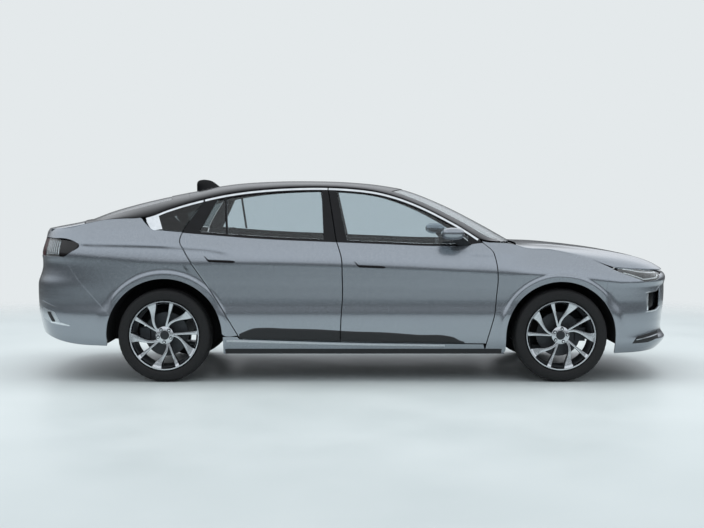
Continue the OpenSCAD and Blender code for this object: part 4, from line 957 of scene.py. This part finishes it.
# Bumpers, grille and lamps: openings as shares round the nose and of the bumper's height
GRILLE_S, GRILLE_V, INTAKE_V = 0.36, (0.27, 0.92), (0.12, 0.22)
VENT_S, VENT_V = (0.57, 0.765), (0.58, 0.84)
SEAM, THIN_ROW = 0.9985, 0.003


def marked(first, n, *marks):
    """Even shares from first to 1, with rows of their own at the marks."""
    return np.unique(np.concatenate([np.linspace(first, 1, n), marks]))


def inside(t, ends):
    """Whether shares lie between two ends."""
    return (t > ends[0]) & (t < ends[1])


def bumper_z(a, v):
    """Height on the front bumper at share a round the nose and share v of the height."""
    return mix(mix(222, 208, smooth(a * 1.4 - 0.4)), straight(LAMP_LOW, a) - 0.3, v)


def vent_frame(v0, v1):
    """Bright lip along one edge of the side vent."""
    a = row(40, 0.562, 0.78)
    z = bumper_z(a, mix(v0, v1, column(7)))
    return layer(on_nose, a, z, -2, 3)


def front_bumper():
    """Front bumper with openings for the grille, the intake below it and the side vents."""
    marks = np.outer((-1, 1), (GRILLE_S, *VENT_S, SEAM)).ravel()
    s = marked(-1, 181, *marks)[None]
    v = marked(0, 67, THIN_ROW, *INTAKE_V, *GRILLE_V, *VENT_V, 1 - THIN_ROW)[:, None]
    a = np.abs(s)
    z = bumper_z(a, v)
    sm, vm = (a[:, 1:] + a[:, :-1]) / 2, (v[1:] + v[:-1]) / 2
    hole = (sm < GRILLE_S) & (inside(vm, GRILLE_V) | inside(vm, INTAKE_V))
    hole |= inside(sm, VENT_S) & inside(vm, VENT_V)
    return sheet(on_nose(s + 0 * z, z), keep=~hole)


def rear_bumper():
    """Rear bumper, its top edge stepped round the boot lid and the tail lamps."""
    s = marked(-1, 161, *np.outer((-1, 1), (0.382, 0.415, 0.475, SEAM)).ravel())[::-1][None]
    v = np.concatenate([[0, THIN_ROW], np.linspace(0.02, 0.98, 50), [1 - THIN_ROW, 1]])[:, None]
    a = np.abs(s)
    z = mix(mix(350, 268, smooth(a * 1.5 - 0.5)), straight(TAIL_LOW, a) - HALF_GAP, v)
    return sheet(on_tail(s + 0 * z, z))


piece("front_bumper_skin", [front_bumper()], paint, ["front_bumper"], wall=14)
piece("rear_bumper_skin", [rear_bumper()], paint, ["rear_bumper"], wall=16)


def slat(z0, z1, s0, s1, deep, thick, n=60, bulge=6.0):
    """Grille bar round the nose: a rounded section from z0 to z1, deep behind the bumper's face."""
    s = row(n, s0, s1)
    t = column(9)
    round_off = bulge * (1 - np.sqrt(np.clip(1 - (2 * t - 1) ** 2, 0, 1)))
    return layer(on_nose, s, mix(z0, z1, t) + 0 * s, deep + round_off, deep + thick)


BAR_END = 0.44
bars = [slat(z, z + 22, -BAR_END, BAR_END, 15, 26) for z in np.arange(380, 770, 33)]
bars += [slat(376, 772, s - 0.004, s + 0.004, 24, 20, 5) for s in np.linspace(-0.38, 0.38, 9)]
bars += [slat(490, 715, s - 0.14, s + 0.14, 26, 12, 20) for s in (-0.66, 0.66)]
bars += [slat(290, 364, -BAR_END, BAR_END, 18, 12)]
backing = [slat(372, 780, -BAR_END, BAR_END, 46, 5), slat(770, 781, -0.56, 0.56, 5, 60)]
lips = both(vent_frame(0.565, 0.58)) + both(vent_frame(0.84, 0.855))
lips += [slat(515, 690, s - 0.018, s + 0.018, 9, 8, 8, 2.0) for s in (-0.752, 0.752)]
piece("grille_bars", bars, black_gloss, ["grille"])
piece("grille_backing", backing, black_plastic)
piece("vent_lips", lips, bright_trim)
intake = cover(on_nose, [(2095, 280), (2220, 285), (2300, 308)], [(2095, 286), (2130, 335), (2305, 364)],
               2096, 2318, 1.0)
blade = cover(on_nose, [(2110, 304), (2300, 334)], [(2110, 309), (2300, 341)], 2122, 2312, 3.0)
piece("corner_intakes", both(intake), black_plastic)
piece("corner_blades", both(blade), satin_trim)
wedge = cover(on_tail, [(2200, 546), (2340, 574)], [(2200, 550), (2340, 592)], 2202, 2345, 2.0)
shelf = cover(on_tail, [(2100, 415), (2235, 430)], [(2100, 421), (2235, 444)], 2102, 2262, 2.0)
slot_vent = cover(on_tail, [(2222, 440), (2248, 440), (2288, 506)], [(2222, 448), (2262, 514), (2288, 514)],
                  2223, 2287, 3.0)
tray = cover(on_tail, [(2100, 411), (2240, 424), (2335, 462)],
             [(2100, 418), (2180, 440), (2225, 516), (2335, 540)], 2102, 2338, 1.0)
piece("rear_bright_wedges", both(wedge) + both(shelf), bright_trim)
piece("rear_slot_vents", both(slot_vent), black_plastic)
piece("rear_corner_trays", both(tray), satin_trim)


def lamp_heights(s):
    """Lower and upper edge of the headlamp at share s round the nose."""
    low = straight(LAMP_LOW, s)
    return low, np.maximum(straight(LAMP_TOP, s) - GAP, low + 6)


def head_lens(deep0, deep1, inset=0.0):
    """Part of the headlamp's volume between two depths, its edges drawn in by inset."""
    s = row(60, 0.57, 0.97)
    low, top = lamp_heights(s)
    z = mix(low + inset, np.maximum(top - inset, low + inset + 2), column(16))
    return layer(on_nose, s, z, deep0, deep1)


def head_guide(share, thick):
    """Light guide along the lamp at a share of its height."""
    s = row(60, 0.59, 0.93)
    z = mix(*lamp_heights(s), share) + column(7, -thick, thick)
    return layer(on_nose, s, z, 12, 18)


piece("headlamp_lenses", both(head_lens(2, 5)), clear_lens, ["headlamps"])
piece("headlamp_housings", both(head_lens(30, 58, 2)), black_gloss)
piece("headlamp_guides", both(head_guide(0.2, 4)) + both(head_guide(0.8, 3)), light_guide)


def tail_lens(deep0, deep1, inset, s0=0.47, s1=1.0):
    """Part of the tail lamp's volume between two depths and two shares, its edges drawn in by inset."""
    s = row(36, s1, s0)
    x = on_tail_lamp(s, TAIL_LAMP_Z + 0 * s)[..., 0]
    low, top = straight(TAIL_LAMP_LOW, x) + inset, straight(TAIL_LAMP_TOP, x) - inset
    z = mix(low, np.maximum(top, low + 2), column(14))
    return layer(on_tail_lamp, s, z, deep0, deep1)


def tail_rib(share):
    """Upright rib inside the tail lamp, 5 mm wide and 18 mm deep."""
    a = np.array([share + 0.006, share - 0.006])[None]
    x = float(on_tail_lamp(share, np.float64(TAIL_LAMP_Z))[0])
    low, top = straight(TAIL_LAMP_LOW, x) + 16, straight(TAIL_LAMP_TOP, x) - 16
    return layer(on_tail_lamp, a, mix(low, top, column(8)) + 0 * a, 9, 27)


smoked, clear_part, red_part = (both(tail_lens(2, 6, 0.6, *ends))
                                for ends in ((0.85, 1.0), (0.62, 0.849), (0.47, 0.619)))
ribs = [part for share in np.linspace(0.65, 0.83, 7) for part in both(tail_rib(share))]
piece("tail_lamp_lenses", smoked, smoked_lens, ["tail_lamps"])
piece("tail_lamp_clear_lenses", clear_part, clear_lens)
piece("tail_lamp_red_lenses", red_part, red_lens)
piece("tail_lamp_ribs", ribs, reflector)
piece("tail_lamp_housings", both(tail_lens(34, 58, 2)), black_gloss)


# Mirrors
def mirror_shell():
    """Mirror housing: a superellipsoid that rises a little outward."""
    a = circle(48)[:, None]
    b = row(31, -np.pi / 2, np.pi / 2)
    x0 = 752.0
    y0 = float(side_y(x0, 1030.0))
    y = y0 + 112 + 92 * swell(np.cos(b), 0.7) * swell(np.cos(a), 0.7)
    x = x0 - 12 + 84 * swell(np.cos(b), 0.75) * swell(np.sin(a), 0.75)
    z = 1100 + 46 * swell(np.sin(b), 0.8) + 0.08 * (y - y0 - 100) + 0 * x
    return sheet(np.stack([x, y, z], -1)[::-1], around=True)


def mirror_foot():
    """Arm of the mirror: oval sections from the door up to the housing."""
    t = column(12)
    a = circle(32)[None]
    y0 = float(side_y(850.0, 1014.0))
    x = mix(846, 765, t) + mix(62, 44, t) * np.cos(a)
    z = mix(1012, 1076, t) + mix(16, 13, t) * np.sin(a)
    y = y0 - 14 + 118 * t ** 1.3 + 0 * a
    grid = np.stack([x, y, z], -1)
    ends = [np.repeat(oval.mean(0)[None, None], 32, 1) for oval in (grid[0], grid[-1])]
    grid = np.concatenate([ends[0], grid, ends[1]])
    return sheet(grid.transpose(1, 0, 2), around=True)


for side in (LEFT, RIGHT):
    side_piece("mirror_foot", mirror_foot(), side, black_plastic, "front_door")
    side_piece("mirror_housing", mirror_shell(), side, paint, "front_door", ["mirror"])


# Wheels: spokes as (radius, turn in degrees, half width in degrees), their face as (radius, height)
BLADE = [(52, 34, 10), (90, 27, 6.2), (120, 19.5, 5.4), (150, 12, 5.4), (180, 6, 6.2), (210, 2, 7.4),
         (251, 0, 9.6)]
THIN = [(52, 40, 6.5), (120, 38, 3.8), (251, 37, 3.8)]
FACE_TOP = [(40, 84), (66, 87), (120, 92), (215, 98), (240, 103), (251, 112)]
SPOKE_TURN = {AXLE_R: 40.0, AXLE_F: 68.0}
SPOKE_STEP, BOLT_R = 72, 50
# Sections across a spoke: (shares of its half width, depths below its face)
SPOKE_FACE = (-0.86, -0.4, 0, 0.4, 0.86), (0, -0.6, -0.8, -0.6, 0)
SPOKE_SIDES = (((-1.06, -1.02, -0.98, -0.93, -0.86), (40, 20, 4, 1.2, 0)),
               ((0.86, 0.93, 0.98, 1.02, 1.06), (0, 1.2, 4, 20, 40)))
# Turned profiles of the wheel: (radius, height)
RIM_LIP = [(244, 100), (247, 108), (249, 113), (251, 114.6), (257, 114.6), (260, 111), (262, 106), (262, 99)]
BARREL = [(262, -98), (262, -106), (258, -114), (246, -114), (236, -100), (226, -60), (232, 60), (240, 97)]
HUB = [(30.1, -26), (60, -26), (60, 36), (66, 40), (67, 80)]
BOSS = [(67, 80), (66, 85), (63, 87.5), (34, 89), (32, 87), (31.5, 82)]
BOLT_SEAT = [(13.5, 87.2), (12.8, 88.9), (0.01, 88.9)]
BOLT = [(8.2, 86), (8.2, 93), (6.6, 95), (0.01, 95.3)]
DISC = [(60, -12), (100, -12), (101, -13), (164, -13), (165, -14), (165, -22), (150, -23), (150, -27),
        (165, -28), (165, -37), (164, -38), (60, -38)]


def on_wheel(points, axle, side):
    """Wheel coordinates, with their third axis outward, to the car."""
    x, y, z = np.moveaxis(points, -1, 0)
    return np.stack([axle - side * x, side * (WHEEL_Y + z), HUB_Z - side * y], -1)


def wheel_part(part, axle, side):
    """A part in wheel coordinates on one wheel of the car, its faces pointing outward."""
    points, faces = part
    return on_wheel(points, axle, side), faces if side == RIGHT else faces[:, ::-1]


def spoke(table, turn, shares, depths):
    """Spoke along its radius, with a section of shares of its half width and depths below its face."""
    r = column(50, 52, 251)
    rows = np.array(table, float)
    mid, half = curve(rows[:, :2], r), curve(rows[:, ::2], r)
    a = np.radians(turn + mid + half * np.array(shares)[None])
    z = curve(FACE_TOP, r) - np.array(depths)[None]
    return sheet(np.stack([r * np.cos(a), r * np.sin(a), z], -1))


def wheel(axle, side, body, node):
    """Wheel of one corner: bright faces, dark pockets, barrel, bolts and brake disc."""
    turn = SPOKE_TURN[axle]
    spokes = [(table, k) for k in turn + SPOKE_STEP * np.arange(5) for table in (BLADE, THIN)]
    faces = [spoke(*s, *SPOKE_FACE) for s in spokes]
    flanks = [spoke(*s, *section) for s in spokes for section in SPOKE_SIDES]
    t = np.linspace(0, np.pi / 2, 8)
    cap = [(31.5, 84), *np.stack([30 * np.cos(t) + 0.01, 87 + 4 * np.sin(t)], -1).tolist()]
    spin = np.radians(turn + 10 + SPOKE_STEP * np.arange(5))
    spots = [(BOLT_R * math.cos(a), BOLT_R * math.sin(a), 0) for a in spin]
    seats, bolts = [lathe(BOLT_SEAT, 24, p) for p in spots], [lathe(BOLT, 12, p) for p in spots]
    groups = (("faces", faces + [lathe(RIM_LIP, 160), lathe(BOSS, 96)], turned_face),
              ("pockets", flanks + seats + [lathe(HUB, 96), lathe(cap, 64)], dark_enamel),
              ("barrel", [lathe(BARREL, 120)], barrel_silver), ("nuts", bolts, bright_trim),
              ("disc", [lathe(DISC, 96)], disc_iron))
    for name, parts, look in groups:
        stands_for, slot = ([f"rim_{node}"], "rim") if name == "faces" else ((), None)
        parts = [wheel_part(p, axle, side) for p in parts]
        piece(f"wheel_{name}_{node}", parts, look, stands_for, body)


def tyre_part():
    """Tyre: rounded profile with four grooves round it and slanted slots across the shoulders."""
    w = TYRE_W / 2
    side_line = [(RIM_R + 0.3, 100), (RIM_R + 8, 116), (RIM_R + 22, 121.5), (RIM_R + 40, w),
                 (TYRE_R - 24, w - 3), (TYRE_R - 10, w - 12), (TYRE_R - 3, w - 28), (TYRE_R - 0.6, w - 48),
                 (TYRE_R, 30), (TYRE_R, 0)]
    half = path(side_line, np.concatenate([np.linspace(0, 0.55, 16), np.linspace(0.565, 1, 34)]))
    profile = np.concatenate([half, half[-2::-1] * [1, -1]])
    a = circle(208)[:, None]
    r, z = profile[None, :, 0] + 0 * a, profile[None, :, 1] + 0 * a
    b = np.abs(z)
    groove = np.maximum(smooth((5.5 - np.abs(b - 24)) / 1.5), smooth((5.0 - np.abs(b - 58)) / 1.5))
    slot = smooth((0.16 - np.abs((a * 52 / (2 * np.pi) + np.sign(z) * b / 60) % 1 - 0.5)) / 0.06)
    slot = slot * smooth((b - 64) / 4) * smooth((106 - b) / 6)
    rib = smooth((r - 312) / 3) * smooth((316 - r) / 1.5) * (b > 100)
    r = r - 7 * groove - 4.5 * slot
    z = z + np.sign(z) * 1.2 * rib
    return sheet(np.stack([r * np.cos(a), r * np.sin(a), z], -1)[::-1], around=True)


tyre = tyre_part()
for axle, place in ((AXLE_F, "front"), (AXLE_R, "rear")):
    for side in (LEFT, RIGHT):
        node = f"{place}_{SIDE_NAME[side]}"
        body = f"wheel_{node}"
        wheel(axle, side, body, node)
        piece(f"tyre_carcass_{node}", [wheel_part(tyre, axle, side)], rubber, [f"tyre_{node}"], body)


# Seats
def pillow(size, place, lean=0.0, power=0.32):
    """Closed cushion: a superellipsoid of three half sizes, leaned back about the cross axis by degrees."""
    a = circle(72)[:, None]
    b = row(37, -np.pi / 2, np.pi / 2)
    x = size[0] * swell(np.cos(b), power) * swell(np.cos(a), power)
    y = size[1] * swell(np.cos(b), power) * swell(np.sin(a), power)
    z = size[2] * swell(np.sin(b), power) + 0 * a
    c, d = math.cos(math.radians(lean)), math.sin(math.radians(lean))
    return sheet(np.stack([x * c - z * d, y, x * d + z * c], -1) + np.array(place, float), around=True)


def stuff(obj, cap=0.022):
    """Stuffs a cushion: an even mesh is blown up as cloth, no point moving further than cap metres."""
    frames, voxel, pressure = 20, 0.02, 4.0
    even = obj.modifiers.new("even", "REMESH")
    even.mode, even.voxel_size = "VOXEL", voxel
    obj.data = bpy.data.meshes.new_from_object(obj.evaluated_get(bpy.context.evaluated_depsgraph_get()))
    obj.modifiers.clear()
    start = np.array([v.co for v in obj.data.vertices])
    cloth = obj.modifiers.new("stuffing", "CLOTH")
    cloth.settings.use_pressure, cloth.settings.uniform_pressure_force = True, pressure
    cloth.settings.effector_weights.gravity = 0.0
    cloth.point_cache.frame_start, cloth.point_cache.frame_end = 1, frames
    for step in range(1, frames + 1):
        bpy.context.scene.frame_set(step)
    blown = obj.evaluated_get(bpy.context.evaluated_depsgraph_get()).data
    move = np.array([v.co for v in blown.vertices]) - start
    far = np.linalg.norm(move, axis=1)[:, None]
    obj.modifiers.clear()
    bpy.context.scene.frame_set(1)
    kept = start + move * np.minimum(1, cap / np.maximum(far, 1e-9))
    obj.data.vertices.foreach_set("co", kept.ravel())
    obj.data.shade_smooth()


def seat(name, y, x, w, stands_for, heads):
    """Seat with its cushion, its leaned back and a headrest at each of the offsets in heads."""
    base = pillow((222, w / 2 - 20, 74), (x + 240, y, 396))
    rest = pillow((52, w / 2 - 22, 282), (x - 62, y, 708), 18.5)
    cushion = piece(f"{name}_cushion", [base], seat_cloth, stands_for)
    back = piece(f"{name}_back", [rest], seat_cloth)
    stuff(cushion)
    stuff(back)
    for k, shift in enumerate(heads):
        head = pillow((32, 100, 56), (x - 178, y + shift, 1066), 12, 0.5)
        stuff(piece(f"{name}_headrest_{k}", [head], seat_cloth), 0.01)


seat("front_seat_left", 370, 60, 500, ["front_seats"], [0])
seat("front_seat_right", -370, 60, 500, [], [0])
seat("rear_bench", 0, -820, 1180, ["rear_seat"], [-370, 0, 370])

# Finishes of the pieces that keep their solid's own shape
KEPT = {"floor_pan": underseal, "b_pillars": soft_plastic, "cowl": black_plastic, "arch_liners": liner_felt,
        "engine_block": cast_alloy, "front_suspension": cast_iron, "rear_suspension": cast_iron,
        "knuckle_right": cast_iron, "knuckle_left": cast_iron, "exhaust": pipe_steel,
        "dashboard": soft_plastic, "steering_wheel": soft_plastic}
for node, look in KEPT.items():
    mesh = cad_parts[node].data
    mesh.materials.clear()
    mesh.materials.append(look)

# Stage: pale floor, soft light from above, camera square to the right side
floor_mesh = bpy.data.meshes.new("floor")
floor_mesh.from_pydata([(-60, -60, 0), (60, -60, 0), (60, 60, 0), (-60, 60, 0)], [], [(0, 1, 2, 3)])
floor = placed("floor", floor_mesh)
floor_paint = speckle("floor_paint", ("#c3cccc", "#c9d1d1"), 0.4, 900.0, vary=0.05)
floor_mesh.materials.append(floor_paint)
tree = floor_paint.node_tree
spot = add(tree, "TexCoord")
away = add(tree, "VectorMath", {0: spot.outputs["Object"]}, operation="LENGTH")
fade = add(tree, "MapRange", {"Value": away.outputs["Value"], "From Min": 5.0, "From Max": 8.0,
                                        "To Min": 1.0, "To Max": 0.0}, interpolation_type="SMOOTHSTEP")
tree.links.new(fade.outputs["Result"], tree.nodes["Principled BSDF"].inputs["Alpha"])

world = bpy.data.worlds.new("studio")
bpy.context.scene.world = world
world.use_nodes = True
tree = world.node_tree
backdrop = tree.nodes["Background"]
place = add(tree, "TexCoord")
split = add(tree, "SeparateXYZ", {"Vector": place.outputs["Generated"]})
lift = add(tree, "MapRange", {"Value": split.outputs["Z"], "From Min": -0.3, "From Max": 1.0})
sky = add(tree, "ValToRGB", {"Fac": lift.outputs["Result"]})
ramp = sky.color_ramp
ramp.elements[0].position, ramp.elements[0].color = 0.0, (0.2, 0.22, 0.23, 1)
ramp.elements[1].position, ramp.elements[1].color = 1.0, (0.9, 0.93, 0.96, 1)
for where, value in ((0.23, 0.1), (0.31, 0.26), (0.42, 0.9), (0.6, 1.12)):
    ramp.elements.new(where).color = (value * 0.94, value * 0.98, value * 1.03, 1)
eye = add(tree, "LightPath")
rays = {0: eye.outputs["Is Camera Ray"], 1: eye.outputs["Is Transmission Ray"]}
seen = add(tree, "Math", rays, operation="MAXIMUM")
shades = {"Factor": seen.outputs["Value"], "A": sky.outputs["Color"], "B": linear("#e4e9eb")}
pale = add(tree, "Mix", shades, data_type="RGBA")
tree.links.new(pale.outputs[2], backdrop.inputs["Color"])


def softbox(name, place, aim, size, power):
    """Square soft light of that size in metres, turned to its aim."""
    lamp = bpy.data.lights.new(name, "AREA")
    lamp.shape, lamp.size, lamp.size_y, lamp.energy = "RECTANGLE", size[0], size[1], power
    obj = placed(name, lamp)
    obj.location = place
    d = np.array(aim, float) - np.array(place, float)
    obj.visible_glossy = False
    heading = math.atan2(d[0], -d[1]) if d[:2].any() else 0
    obj.rotation_euler = (math.atan2(math.hypot(d[0], d[1]), -d[2]), 0, heading)


softbox("ceiling", (0, 0, 5.5), (0, 0, 0), (8, 4), 260)
softbox("front_wall", (0, -9, 5.0), (0, 0, 0.8), (10, 3), 260)

camera = placed("camera", bpy.data.cameras.new("camera"))
camera.data.sensor_width, camera.data.lens = 36.0, 62.39
camera.location = (0.0, -9.92, 1.341)
camera.rotation_euler = (math.radians(90 - 2.94), 0, 0)
bpy.context.scene.camera = camera
bpy.context.scene.view_settings.view_transform = "Standard"
